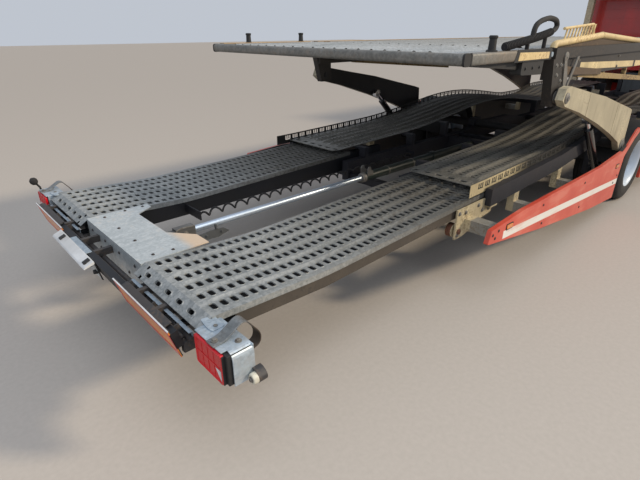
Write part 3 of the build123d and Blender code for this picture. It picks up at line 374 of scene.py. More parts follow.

# %% [markdown]
# ## Finishes
# Zinc is blue-grey with crystals and dirt patches, and it turns to a second tone towards the front: darker
# on the decks, painted shade on the hoops, a peach painted sunlight on the centre plate.
# An image could show that, but noise in object coordinates fits any sheet without a seam.


# %% Zinc
def zinc(name, light, dark, dirt_and_painted_light, tone_from=0.0, tone_to=1.0, front_share=0.0, metallic=0.35, lowest=0.0,
         where=None):
    """Galvanised steel with dirt patches. A second tone grows between two distances ahead of the datum, in
    metres.
    """
    steel = Finish(name, Metallic=metallic)
    cloud = steel.noise(2.3, 5.0, 0.6)
    fine = steel.noise(34.0, 4.0, 0.6)
    drawn = steel.noise(7.0, 4.0, 0.6, along=steel.stretched(0.25, 3.0, 3.0))
    crystal = steel.cells(85.0)
    shade = 0.45 * cloud + 0.2 * fine + 0.25 * drawn + 0.1 * crystal
    grey = steel.mix(shade.ramp(0.36, 0.66), dark, light)
    forward = steel.ahead.ramp(tone_from, tone_to)
    if where:
        forward = forward * where(steel)
    share = lowest + (forward * front_share) + (cloud * fine * 2.2).ramp(0.5, 0.85) * 0.3
    colour = steel.mix(share.math("MINIMUM", share, 1.0), grey, dirt_and_painted_light)
    steel.set(Base_Color=colour, Roughness=0.62 - 0.28 * shade + 0.15 * forward)
    steel.emboss(0.6 * fine + 0.4 * drawn, 0.0012, 0.35)
    return steel


track_zinc = zinc("track_zinc", (0.44, 0.455, 0.45), (0.19, 0.205, 0.21), (0.085, 0.080, 0.070), 0.1, 1.9,
                  0.80)
deck_zinc = zinc("deck_zinc", (0.30, 0.29, 0.26), (0.12, 0.12, 0.11), (0.045, 0.04, 0.035), 2.4, 4.2, 0.6)
upper_zinc = zinc("upper_zinc", (0.46, 0.49, 0.51), (0.22, 0.24, 0.25), (0.16, 0.14, 0.11), 1.4, 3.5, 0.3)
# The centre plate's front right corner turns peach: a painted patch of sunlight, on the right side only.
cover_zinc_painted_sun = zinc("cover_zinc_painted_sun", (0.60, 0.64, 0.66), (0.38, 0.42, 0.44), (0.66, 0.50, 0.35), 0.17, 0.24,
                  0.85, where=lambda s: (0.06 - s.left).ramp(0.0, 0.04))
box_zinc = zinc("box_zinc", (0.50, 0.58, 0.65), (0.27, 0.33, 0.39), (0.30, 0.27, 0.24), metallic=0.5)
arm_zinc = zinc("arm_zinc", (0.66, 0.58, 0.42), (0.40, 0.36, 0.27), (0.28, 0.20, 0.11), 2.5, 5.0, 0.2)
# The hoop straps darken to brown on their front leg: painted shade under the arch.
hoop_zinc_shaded_front = zinc("hoop_zinc_shaded_front", (0.26, 0.28, 0.29), (0.10, 0.11, 0.115), (0.07, 0.052, 0.040), -0.02, 0.05,
                 1.0)
tube_zinc = zinc("tube_zinc", (0.25, 0.25, 0.24), (0.12, 0.125, 0.12), (0.17, 0.12, 0.07), 1.4, 1.8, 0.3,
                 lowest=0.1)

# %% [markdown]
# Paint, plastic and rubber differ in colour, gloss, wear and dust, so one recipe serves them all.
# Chrome, glass and clear lenses have a Finish of their own, because they hold no dust.


# %% Paint, rubber and glass
def paint(name, colour, worn, rough=0.4, chips=0.3, coat=0.2, metallic=0.0, dust=(0.35, 0.31, 0.26),
          second=None, where=None):
    """Painted or moulded surface with wear and dust. A second colour lies where a Value is 1."""
    skin = Finish(name, Metallic=metallic, Coat_Weight=coat)
    cloud = skin.noise(3.0, 5.0, 0.6)
    fine = skin.noise(60.0, 3.0, 0.6)
    streak = skin.noise(18.0, 4.0, 0.6, along=skin.stretched(1.0, 1.0, 0.1))
    bright = skin.mix(where(skin), colour, second) if second else colour
    shade = skin.mix(0.35 * (1.0 - cloud.ramp(0.35, 0.7)) + 0.25 * streak.ramp(0.5, 0.8), bright,
                     tuple(0.6 * c for c in worn))
    chipped = (cloud * fine * 2.0).ramp(0.62 - 0.15 * chips, 0.75)
    bare = skin.mix(chipped * chips, shade, worn)
    dusty = skin.noise(1.4, 4.0).ramp(0.5, 0.8) * 0.2
    skin.set(Base_Color=skin.mix(dusty, bare, dust), Roughness=rough + 0.2 * cloud)
    skin.emboss(fine, 0.0005, 0.2)
    return skin


def beam_band(skin):
    """1 on the straw-yellow band along the deep beam, which falls by 3 % and has a gap at x = 4.30."""
    band = (0.024 - abs(skin.above - 0.772 + 0.03 * (skin.ahead - 3.1))).ramp(-0.002, 0.002)
    return band * skin.ahead.ramp(2.95, 2.96) * abs(skin.ahead - 4.30).ramp(0.025, 0.030)


def beam_face(skin):
    """1 on the outer face of the sliding deck's side beams, ahead of the tail."""
    return skin.aside.ramp(0.925, 0.935) * skin.ahead.ramp(0.05, 0.08)


dark_steel = paint("dark_steel", (0.030, 0.031, 0.035), (0.10, 0.07, 0.05), 0.45, 0.5, 0.0,
                   dust=(0.12, 0.10, 0.08))
# A bluish near black: the frame's black paint, darkened further as painted shade in the well between the
# tracks.
well_steel_shaded = paint("well_steel_shaded", (0.008, 0.010, 0.018), (0.05, 0.045, 0.045), 0.5, 0.3, 0.0,
                   dust=(0.04, 0.04, 0.05))
# The near black on the sliding deck's beams is painted shade on their inner faces. Their outer faces are
# brown.
slide_steel_shaded = paint("slide_steel_shaded", (0.0035, 0.005, 0.009), (0.014, 0.013, 0.014), 0.45, 0.4, 0.0,
                    dust=(0.007, 0.008, 0.012),
                    second=(0.068, 0.055, 0.042), where=beam_face)
ochre = paint("ochre", (0.74, 0.57, 0.28), (0.30, 0.18, 0.08), 0.5, 0.7, 0.1)
# Dark brown for the webs of painted shade under the upper deck's near rail.
gable_shade_brown = paint("gable_shade_brown", (0.075, 0.048, 0.030), (0.17, 0.115, 0.06), 0.6, 0.6, 0.0,
                  dust=(0.08, 0.06, 0.045))
bolt_steel = paint("bolt_steel", (0.20, 0.195, 0.18), (0.10, 0.07, 0.05), 0.45, 0.5, 0.0, 0.3,
                   dust=(0.16, 0.14, 0.11))
# Off the straw band, the near black is painted shade on the upper frame's rails, posts and lower beam. The
# band is the frame's yellow paint.
upper_paint_shaded = paint("upper_paint_shaded", (0.010, 0.009, 0.009), (0.06, 0.042, 0.028), 0.5, 0.4, 0.1,
                    dust=(0.028, 0.024, 0.020),
                    second=(0.82, 0.66, 0.36), where=beam_band)
cab_red = paint("cab_red", (0.50, 0.028, 0.024), (0.25, 0.05, 0.04), 0.22, 0.05, 0.6)
black_plastic = paint("black_plastic", (0.010, 0.010, 0.011), (0.035, 0.035, 0.035), 0.5, 0.2, 0.0,
                      dust=(0.045, 0.042, 0.04))
rubber = paint("rubber", (0.014, 0.014, 0.015), (0.05, 0.045, 0.04), 0.75, 0.2, 0.0, dust=(0.09, 0.08, 0.07))
cream = paint("cream", (0.62, 0.60, 0.50), (0.3, 0.26, 0.2), 0.5, 0.3, 0.0)
white = paint("white", (0.66, 0.68, 0.70), (0.35, 0.33, 0.3), 0.35, 0.2, 0.3)
engine_grey = paint("engine_grey", (0.10, 0.11, 0.12), (0.05, 0.05, 0.05), 0.5, 0.5, 0.0, 0.4)
cylinder_green = paint("cylinder_green", (0.014, 0.026, 0.024), (0.05, 0.05, 0.045), 0.3, 0.3, 0.3,
                       dust=(0.06, 0.07, 0.07))
# Silver with a blue tint. The tint is a painted reflection of the sky.
rim_silver = paint("rim_silver", (0.60, 0.69, 0.80), (0.40, 0.42, 0.45), 0.28, 0.15, 0.3, 0.05)
cylinder_black = paint("cylinder_black", (0.006, 0.006, 0.008), (0.03, 0.03, 0.03), 0.16, 0.2, 0.7,
                       dust=(0.02, 0.02, 0.02))
mottled = paint("mottled", (0.42, 0.30, 0.13), (0.09, 0.055, 0.03), 0.55, 1.0, 0.0, dust=(0.16, 0.11, 0.07))
rust = paint("rust", (0.17, 0.065, 0.035), (0.06, 0.03, 0.02), 0.8, 0.8, 0.0)
# The black on the arms' inner faces is painted shade. Their outer faces are zinc yellow.
arm_paint_shaded_inside = paint("arm_paint_shaded_inside", (0.014, 0.015, 0.018), (0.06, 0.05, 0.04), 0.5, 0.4, 0.0,
                  dust=(0.04, 0.035, 0.03),
                  second=(0.52, 0.46, 0.32), where=lambda s: s.aside.ramp(1.160, 1.166))
tan = paint("tan", (0.46, 0.33, 0.20), (0.25, 0.16, 0.09), 0.6, 0.5, 0.0)
hanger_zinc = paint("hanger_zinc", (0.27, 0.27, 0.25), (0.17, 0.12, 0.07), 0.45, 0.6, 0.0, 0.3,
                    second=(0.58, 0.50, 0.33), where=lambda s: 1.0 - s.aside.ramp(1.060, 1.070))
# Near black: painted shade in the holes' throats and the wheels' hand holes, and the dark of the skirt
# seams.
shade_and_seam_black = paint("shade_and_seam_black", (0.006, 0.006, 0.007), (0.010, 0.009, 0.009), 0.9, 0.2, 0.0,
                  dust=(0.012, 0.011, 0.010))
lens_red = paint("lens_red", (0.62, 0.002, 0.010), (0.40, 0.004, 0.012), 0.25, 0.1, 0.12,
                 dust=(0.48, 0.006, 0.014))
lens_red.emboss((lens_red.left * 700.0).wave() * (lens_red.above * 700.0).wave(), 0.001, 0.5)
lens_amber = paint("lens_amber", (0.80, 0.22, 0.01), (0.5, 0.15, 0.02), 0.12, 0.1, 1.0)
lens_amber.emboss((lens_amber.ahead * 900.0).wave(), 0.001, 0.5)
board_orange = paint("board_orange", (0.86, 0.27, 0.015), (0.55, 0.22, 0.06), 0.3, 0.3, 0.4)
board_orange.emboss(board_orange.cells(260.0), 0.0006, 0.4)
board_red = paint("board_red", (0.60, 0.02, 0.02), (0.4, 0.05, 0.04), 0.3, 0.2, 0.4)
cloth = paint("cloth", (0.11, 0.12, 0.15), (0.06, 0.06, 0.07), 0.85, 0.3, 0.0, dust=(0.14, 0.14, 0.14))
cloth.emboss((cloth.left * 2400.0).wave() * ((cloth.ahead + cloth.above) * 2400.0).wave(), 0.0006, 0.8)

ram_metal = Finish("ram_metal")
on_rod = ram_metal.ahead.ramp(0.409, 0.412)
drawn = ram_metal.noise(30.0, 3.0, along=ram_metal.stretched(0.1, 1, 1))
grey = ram_metal.mix(drawn.ramp(0.3, 0.7), (0.09, 0.09, 0.09), (0.16, 0.16, 0.155))
# The rod's blue tint is a painted reflection of the sky.
ram_metal.set(Base_Color=ram_metal.mix(on_rod, grey, (0.42, 0.47, 0.54)), Metallic=0.4 + 0.6 * on_rod,
              Roughness=0.5 - 0.30 * on_rod + 0.1 * drawn)
ram_metal.emboss(drawn, 0.0003, 0.2)
chrome_steel = Finish("chrome_steel", Base_Color=(0.74, 0.76, 0.79), Metallic=1.0)
drawn = chrome_steel.noise(30.0, 3.0, along=chrome_steel.stretched(0.2, 1, 1))
chrome_steel.set(Roughness=0.08 + 0.14 * drawn)
chrome_steel.emboss(chrome_steel.noise(90.0, 2.0), 0.0002, 0.2)
# The sleeve's blue tint is a painted reflection of the sky.
rod_chrome = Finish("rod_chrome", Base_Color=(0.50, 0.58, 0.68), Metallic=0.85)
rod_chrome.set(Roughness=0.30 + 0.12 * rod_chrome.noise(30.0, 3.0, along=rod_chrome.stretched(0.2, 1, 1)))
glass = Finish("glass", Base_Color=(0.02, 0.028, 0.03), Coat_Weight=1.0)
glass.set(Alpha=0.24 + 0.10 * glass.noise(2.0, 3.0), Roughness=0.03 + 0.08 * glass.noise(5.0, 3.0))
mirror_glass = Finish("mirror_glass", Base_Color=(0.75, 0.78, 0.80), Metallic=1.0)
mirror_glass.set(Roughness=0.03 + 0.05 * mirror_glass.noise(9.0, 3.0))
lens_clear = Finish("lens_clear", Base_Color=(0.72, 0.75, 0.78), Coat_Weight=1.0)
lens_clear.set(Roughness=0.06 + 0.1 * lens_clear.noise(20.0, 2.0))
lens_clear.emboss((lens_clear.left * 260.0).wave(), 0.002, 0.5)
print(len(bpy.data.materials), "finishes")

# %% [markdown]
# The stripe falls forward: its middle is at z = STRIPE_Z + STRIPE_SLOPE * (x - STRIPE_X[0]).
# It could be a thin strip of its own. As a colour it lies flush, as paint does.

# %% Red skirt with a white stripe
STRIPE_X = (1.84, 4.42)
STRIPE_Z = -0.151
STRIPE_SLOPE = -0.0695
STRIPE_HALF = 0.027

skirt_red = Finish("skirt_red", Coat_Weight=0.25)
off_line = abs(skirt_red.above - STRIPE_Z - STRIPE_SLOPE * (skirt_red.ahead - STRIPE_X[0]))
on_stripe = (STRIPE_HALF - off_line).ramp(-0.001, 0.001)
on_stripe = on_stripe * skirt_red.ahead.ramp(STRIPE_X[0], STRIPE_X[0] + 0.004)
on_stripe = on_stripe * (STRIPE_X[1] - skirt_red.ahead).ramp(0.0, 0.004)
cloud = skirt_red.noise(2.2, 5.0, 0.6)
scratch = skirt_red.noise(9.0, 4.0, 0.65, along=skirt_red.stretched(0.3, 1.0, 3.0))
red = skirt_red.mix(cloud.ramp(0.3, 0.7), (0.50, 0.050, 0.026), (0.60, 0.095, 0.055))
striped = skirt_red.mix(on_stripe, red, (0.74, 0.72, 0.68))
faded = skirt_red.mix((scratch * cloud * 2.2).ramp(0.5, 0.8) * 0.4, striped, (0.62, 0.24, 0.18))
skirt_red.set(Base_Color=faded, Roughness=0.34 + 0.25 * scratch)
skirt_red.emboss(scratch, 0.0008, 0.25)
print("stripe from", STRIPE_X[0], "to", STRIPE_X[1])

# %% [markdown]
# A pale floor, a soft sky and one low warm sun from ahead on the right give long soft shadows.
# The sky fills what the sun leaves dark, and one more large lamp softens the tail.

# %% Floor and light
floor_skin = Finish("floor", Roughness=0.8)
grain = floor_skin.noise(40.0, 4.0)
floor_skin.set(Base_Color=floor_skin.mix(grain, (0.40, 0.365, 0.33), (0.48, 0.44, 0.40)))
floor = Stock().box((-60, 60), (-60, 60), (-0.05, 0.0))
floor_mesh = bpy.data.meshes.new("floor")
floor_mesh.from_pydata(floor.points, [], floor.faces)
floor_mesh.materials.append(floor_skin.material)
floor_piece = bpy.data.objects.new("floor", floor_mesh)
bpy.context.scene.collection.objects.link(floor_piece)
floor_piece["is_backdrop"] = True

world = bpy.data.worlds.new("sky")
bpy.context.scene.world = world
world.use_nodes = True
sky = world.node_tree.nodes["Background"]
sky.inputs["Color"].default_value = (0.84, 0.90, 1.0, 1.0)
sky.inputs["Strength"].default_value = 0.62
bpy.context.scene.view_settings.view_transform = "Standard"


def lamp(name, kind, at, toward, energy, colour, size):
    """A light at a place, aimed at another."""
    light = bpy.data.lights.new(name, kind)
    light.energy, light.color = energy, colour
    if kind == "SUN":
        light.angle = size
    else:
        light.size = size
    carrier = bpy.data.objects.new(name, light)
    carrier.location = at
    carrier.rotation_euler = (Vector(toward) - Vector(at)).to_track_quat("-Z", "Y").to_euler()
    bpy.context.scene.collection.objects.link(carrier)


lamp("sun", "SUN", (8, -9, 7), (0, 0, 0.5), 2.6, (1.0, 0.84, 0.62), radians(6))
lamp("soft_top", "AREA", (-6.5, -3.5, 7), (-4.5, 0, 0.5), 240, (0.93, 0.96, 1.0), 6.0)
print("light ready")

# %% [markdown]
# ## Perforated decks
# Every hole is a ring of points in a rectangular cell. Plain strips fill the sheet between the cells.
# One cell is worked out once and repeated by numpy, then the sheet is lifted to the deck's line.
# Each hole has a turned-down rim of its own, and below that a dark throat, whose near black is painted
# shade.
# Cutting each hole out of a sheet would be slow, and it would leave long thin faces.

# %% Cells
HOLE_PITCH = 0.0488
ROW_GAP = 0.100
ROW_YS = 0.435 + ROW_GAP * np.arange(6)


def hole_line(hole, coarse=False):
    """Rounded rectangle, hole[0] along and hole[1] across, with corner radius hole[2].

    A corner is at (a - r + r cos t, b - r + r sin t) for t = 0, 45 and 90 degrees.
    A coarse one leaves out 45.
    """
    a, b, r = hole[0] / 2, hole[1] / 2, hole[2]
    turns = np.array([0, 90] if coarse else [0, 45, 90])
    points = []
    for sx, sy, start in ((1, 1, 0), (-1, 1, 90), (-1, -1, 180), (1, -1, 270)):
        for t in np.radians(start + turns):
            points.append((sx * (a - r) + r * cos(t), sy * (b - r) + r * sin(t)))
    return np.array(points)


def hole_cell(long, wide, hole, coarse=False):
    """Rectangle long by wide around a hole. A triangle is a quad that names one point twice."""
    inner = hole_line(hole, coarse)
    corners = [(sx * long / 2, sy * wide / 2) for sx, sy in ((1, 1), (-1, 1), (-1, -1), (1, -1))]
    if coarse:
        faces = [(2 * k, 2 * k + 1, 8 + k, 8 + k) for k in range(4)]
        faces += [(2 * k + 1, (2 * k + 2) % 8, 8 + (k + 1) % 4, 8 + k) for k in range(4)]
        return np.vstack([inner, corners]), np.array(faces)
    outer = []
    for k, (x, y) in enumerate(corners):
        side, top = (x, np.sign(y) * (hole[1] / 2 - hole[2])), (np.sign(x) * (hole[0] / 2 - hole[2]), y)
        outer += [side, (x, y), top] if k % 2 == 0 else [top, (x, y), side]
    faces = [(k, 12 + k, 12 + (k + 1) % 12, (k + 1) % 12) for k in range(12)]
    return np.vstack([inner, outer]), np.array(faces)


def strip_cell(stops, ys):
    """Grid of quads over x stops and y stops."""
    points = np.array([(x, y) for x in stops for y in ys])
    n = len(ys)
    faces = [(a * n + k, (a + 1) * n + k, (a + 1) * n + k + 1, a * n + k + 1)
             for a in range(len(stops) - 1) for k in range(n - 1)]
    return points, np.array(faces)


def repeated(template, centres):
    """The template at every centre, as one array of points and one of faces."""
    points, faces = template
    centres = np.asarray(centres)
    many = (centres[:, None] + points[None]).reshape(-1, 2)
    shift = np.arange(len(centres))[:, None, None] * len(points)
    return many, (faces[None] + shift).reshape(-1, faces.shape[1])


def welded(parts, lift):
    """Join parts of (points, faces), merge points that meet, and lift (x, y) to (x, y, z)."""
    points, faces, base = [], [], 0
    for some, theirs in parts:
        points.append(some)
        faces.append(theirs + base)
        base += len(some)
    unique, where = np.unique(np.round(np.vstack(points), 5), axis=0, return_inverse=True)
    where = where.reshape(-1)
    kept = [tuple(dict.fromkeys(where[list(face)].tolist())) for face in np.vstack(faces)]
    return lift(unique[:, 0], unique[:, 1]), [face for face in kept if len(face) > 2]


def lips(outline, centres, lift, levels, down=(0.0, 0.0, -1.0)):
    """Rings under each hole: the outline shrunk to each share, and moved down by each depth."""
    centres = np.asarray(centres)
    rings = []
    for share, depth in levels:
        flat = (centres[:, None] + outline[None] * share).reshape(-1, 2)
        rings.append((lift(flat[:, 0], flat[:, 1]) + depth * np.asarray(down)).reshape(len(centres), -1, 3))
    rings = np.stack(rings, axis=1)
    count, depth, around = rings.shape[:3]
    base = ((np.arange(count)[:, None] * depth + np.arange(depth - 1)[None]) * around)[..., None]
    k = np.arange(around)[None, None]
    n = (k + 1) % around
    faces = np.stack([base + k, base + n, base + around + n, base + around + k], axis=-1)
    return rings.reshape(-1, 3), faces.reshape(-1, 4).tolist()


def ribs(y, centres, width, height):
    """Raised lines: height * cos(pi d / width) ** 2, d the distance to the nearest centre line."""
    d = np.abs(np.asarray(y)[:, None] - np.asarray(centres)[None]).min(axis=1)
    return np.where(d < width / 2, height * np.cos(pi * d / width) ** 2, 0.0)


def smooth_step(x, low, high):
    """0 below low and 1 above high, as 3 t^2 - 2 t^3 between them."""
    t = np.clip((np.asarray(x) - low) / (high - low), 0, 1)
    return t * t * (3 - 2 * t)


def middles(rows):
    """Lines halfway between neighbouring rows."""
    return (np.asarray(rows)[1:] + np.asarray(rows)[:-1]) / 2


def perforated(xs, rows, hole, half, ends, edges, lift, coarse=False):
    """Sheet with holes at xs in each row: cells 2 * half wide, with plain strips between and around them."""
    gap = rows[1] - rows[0]
    pitch = xs[1] - xs[0]
    inner = hole[0] / 2 - hole[2]
    stops = [-pitch / 2, pitch / 2] if coarse else [-pitch / 2, -inner, inner, pitch / 2]
    wide = np.linspace(-(gap / 2 - half), gap / 2 - half, 7)
    low, high = rows[0] - half, rows[-1] + half
    parts = [repeated(hole_cell(pitch, 2 * half, hole, coarse), [(x, y) for x in xs for y in rows])]
    parts.append(repeated(strip_cell(stops, wide), [(x, y) for x in xs for y in middles(rows)]))
    for band in ([edges[0], low], [high, edges[1]]):
        parts.append(repeated(strip_cell(stops, band), [(x, 0) for x in xs]))
    ys = {edges[0], edges[1], low, high}
    for y in middles(rows):
        ys.update(y + wide)
    if not coarse:
        for y in rows:
            ys.update((y - hole[1] / 2 + hole[2], y + hole[1] / 2 - hole[2]))
    ys = sorted(set(np.round(list(ys), 6)))
    for a, b in ((ends[0], xs[0] - pitch / 2), (xs[-1] + pitch / 2, ends[1])):
        if b - a > 0.001:
            parts.append(strip_cell(np.linspace(a, b, max(1, round((b - a) / 0.03)) + 1), ys))
    return welded(parts, lift)


print("rows at", ROW_YS.round(3))

# %% [markdown]
# Two ribbed zinc tracks slide out to the rear, and their rear ends are bent down.
# The line dips at the wheel well: z = s1 x + (s2 - s1) w log(1 + exp((x - DIP_X) / w)).
# Two straight lines would leave a crease there, and this formula bends smoothly.

# %% Sliding tracks
SLIDE_X = (-0.045, 2.200)
DIP_X, SLOPE_BACK, SLOPE_AHEAD, DIP_SOFT = 0.570, -0.0526, 0.0258, 0.05
HOLE = (0.0270, 0.0520, 0.0115)
FLANGE_TURN = radians(32)
FLANGE_LENGTH = 0.072
FLANGE_HOLE = (0.020, 0.046, 0.0095)


def slide_z(x):
    """Height of the sliding deck's line above the datum."""
    return SLOPE_BACK * x + (SLOPE_AHEAD - SLOPE_BACK) * DIP_SOFT * np.log1p(np.exp((x - DIP_X) / DIP_SOFT))


def track_lift(x, y):
    rib = ribs(y, middles(ROW_YS), 0.036, 0.008) * smooth_step(x, -0.030, 0.010)
    return np.column_stack([x, y, slide_z(x) + rib])


def flange_lift(u, y):
    """Distance u down the bent flange, as a point behind the bend."""
    return np.column_stack([SLIDE_X[0] - u * cos(FLANGE_TURN), y,
                            slide_z(SLIDE_X[0]) - u * sin(FLANGE_TURN)])


track_xs = HOLE_PITCH * np.arange(45)
track_centres = [(x, y) for x in track_xs for y in ROW_YS]
flange_centres = [(FLANGE_LENGTH / 2, y) for y in middles(ROW_YS)]
under_flange = (sin(FLANGE_TURN), 0, -cos(FLANGE_TURN))

tracks = Stock().add(*perforated(track_xs, ROW_YS, HOLE, 0.030, SLIDE_X, (0.385, 1.0), track_lift))
bead = [(1.10, 0.0), (1.04, -0.0016), (0.99, -0.0010), (0.97, 0.005)]
tracks.add(*lips(hole_line(HOLE), track_centres, track_lift, bead))
cells = repeated(hole_cell(FLANGE_LENGTH, 0.1, FLANGE_HOLE), flange_centres)
sides = [strip_cell([0, FLANGE_LENGTH], [0.385, 0.435]), strip_cell([0, FLANGE_LENGTH], [0.935, 1.0])]
tracks.add(*welded([cells, *sides], flange_lift))
tracks.add(*lips(hole_line(FLANGE_HOLE), flange_centres, flange_lift,
                 [(1.40, 0.0), (1.22, -0.0030), (1.02, -0.0020), (0.96, 0.008)], under_flange))
along = np.linspace(*SLIDE_X, 40)
for y in (0.385, 1.0):
    tracks.grid([[(x, y, slide_z(x) - drop) for x in along] for drop in (0.0, 0.030)])
tracks.grid([[(SLIDE_X[1], y, slide_z(SLIDE_X[1]) - drop) for y in (0.385, 1.0)] for drop in (0.0, 0.026)])
hem = flange_lift(np.array([FLANGE_LENGTH] * 2), np.array([0.385, 1.0]))
tracks.grid([hem, hem + (0.005, 0, -0.012)])
tracks.flipped()
tracks.piece("extension_track_sheets", track_zinc, "slide_deck", "galvanised", smooth=True,
             nodes=["extension_tracks"])
throats = Stock().add(*lips(hole_line(HOLE), track_centres, track_lift,
                            [(0.985, 0.003), (0.93, 0.010), (0.60, 0.022)]))
throats.add(*lips(hole_line(FLANGE_HOLE), flange_centres, flange_lift, [(0.94, 0.009), (0.80, 0.016)],
                  under_flange))
throats.flipped().piece("extension_track_throats", shade_and_seam_black, "slide_deck", "galvanised",
                        nodes=["extension_tracks"])

# %% [markdown]
# Five broad ribs start rounded behind the slotted rear lip. The inner rear corners are cut off.
# The deck's height comes from a few stations, averaged over a short span so that it bends softly.

# %% Fixed deck
DECK_LINE = np.array([(2.0, 0.050), (2.5, 0.062), (3.2, 0.082), (3.7, 0.128), (4.15, 0.186), (4.45, 0.216),
                      (4.7, 0.226), (4.98, 0.222), (5.3, 0.198), (5.75, 0.142), (6.2, 0.078), (6.85, 0.078),
                      (7.25, 0.150), (8.85, 0.150)])
DECK_HOLE = (0.022, 0.036, 0.008)
LIP_HOLE = (0.034, 0.062, 0.016)


def deck_z(x):
    """Height of the fixed deck: its stations, averaged over 0.3 m so that its bends are curved."""
    shifts = np.linspace(-0.15, 0.15, 7)
    spread = np.clip(np.asarray(x)[..., None] + shifts, DECK_LINE[0, 0], DECK_LINE[-1, 0])
    return np.interp(spread, DECK_LINE[:, 0], DECK_LINE[:, 1]).mean(axis=-1)


def deck_lift(x, y):
    rib = ribs(y, middles(ROW_YS), 0.058, 0.013) * smooth_step(x, 2.125, 2.165)
    return np.column_stack([x, y, deck_z(x) + rib])


def lip_lift(x, y):
    cut = (np.asarray(x) < 2.001) & (np.asarray(y) < 0.40)
    return np.column_stack([x, y + 0.035 * cut, deck_z(x)])


deck_xs = 2.185 + HOLE_PITCH * np.arange(136)
deck_centres = [(x, y) for x in deck_xs for y in ROW_YS]
lip_centres = [(2.0575, y) for y in ROW_YS]
deck = Stock().add(*perforated(deck_xs, ROW_YS, DECK_HOLE, 0.021, (2.115, 8.85), (0.391, 1.002), deck_lift,
                               True))
deck.add(*lips(hole_line(DECK_HOLE, True), deck_centres, deck_lift, [(1.0, 0.0), (0.93, 0.004)]))
lip_cells = repeated(hole_cell(0.115, 0.1, LIP_HOLE), lip_centres)
deck.add(*welded([lip_cells, strip_cell([2.0, 2.045, 2.115], [0.385, 0.391]),
                  strip_cell([2.0, 2.115], [0.985, 1.002])], lip_lift))
deck.add(*lips(hole_line(LIP_HOLE), lip_centres, lip_lift, [(1.0, 0.0), (0.94, 0.006)]))
along = np.linspace(2.0, 8.85, 90)
deck.grid([[(x, 0.391 + 0.029 * (x < 2.01), deck_z(x) - drop) for x in along] for drop in (0.0, 0.006)])
deck.grid([[(2.0, y, deck_z(2.0) - drop) for y in (0.42, 1.002)] for drop in (0.0, 0.006)])
deck.flipped()
deck.piece("lower_deck_sheets", deck_zinc, "chassis", "galvanised", smooth=True, nodes=["lower_deck"])
throats = Stock().add(*lips(hole_line(DECK_HOLE, True), deck_centres, deck_lift,
                            [(0.94, 0.003), (0.62, 0.014)]))
throats.add(*lips(hole_line(LIP_HOLE), lip_centres, lip_lift, [(0.95, 0.005), (0.70, 0.012)]))
throats.flipped().piece("lower_deck_throats", shade_and_seam_black, "chassis", "galvanised", nodes=["lower_deck"])

# %% [markdown]
# An upright plate with lashing slots. Each is three upright slots joined along the bottom.
# Two skins of quads leave the slots open, so that light falls through them.

# %% Comb along the fixed deck's sides
COMB_STOPS = np.array([0.0, 0.010, 0.025, 0.034, 0.049, 0.058, 0.073, 0.090])
COMB_LEVELS = np.array([-0.030, 0.004, 0.013, 0.044, 0.055])


def sunlit_near_rear(skin):
    """1 on the right side's rear end, fading out between 2.30 and 2.75 m ahead, where the comb is painted
    with a patch of sunlight.
    """
    return (0.0 - skin.left).ramp(0.9, 1.0) * (1.0 - skin.ahead.ramp(2.30, 2.75))


# The comb is near black, as painted shade, except at the right side's rear end, where a pale yellow is a
# painted patch of sunlight.
comb_zinc_painted_light = paint("comb_zinc_painted_light", (0.022, 0.023, 0.024), (0.06, 0.05, 0.035), 0.5, 0.5, 0.0, 0.3,
                  dust=(0.05, 0.045, 0.04),
                  second=(0.62, 0.52, 0.31), where=sunlit_near_rear)
comb = Stock()
for k in range(77):
    xs = 1.85 + 0.090 * k + COMB_STOPS
    for a in range(7):
        for b in range(4):
            if k > 0 and k < 76 and ((b == 1 and 1 <= a <= 5) or (b == 2 and a in (1, 3, 5))):
                continue
            low, high = COMB_LEVELS[b] + deck_z(xs[a:a + 2]), COMB_LEVELS[b + 1] + deck_z(xs[a:a + 2])
            for y in (1.0020, 1.0050):
                comb.add([(xs[a], y, low[0]), (xs[a + 1], y, low[1]), (xs[a + 1], y, high[1]),
                          (xs[a], y, high[0])], [(0, 1, 2, 3)])
along = np.linspace(1.85, 1.85 + 0.090 * 77, 120)
for level in (-0.030, 0.055):
    comb.grid([[(x, y, deck_z(x) + level) for x in along] for y in (1.0020, 1.0050)])
comb.grid([[(1.85, y, deck_z(1.85) + level) for level in (-0.030, 0.055)] for y in (1.0020, 1.0050)])
comb.flipped().piece("lower_deck_combs", comb_zinc_painted_light, "chassis", "galvanised", nodes=["lower_deck"])

# %% [markdown]
# Three flat sheets carry cars above, with 20 rows of holes and a low rib between rows.
# One function makes all three. They differ only in place, height and body.

# %% Upper, tail and cab decks
UPPER_ROWS = np.linspace(-0.95, 0.95, 20)
UPPER_HOLE = (0.024, 0.042, 0.009)


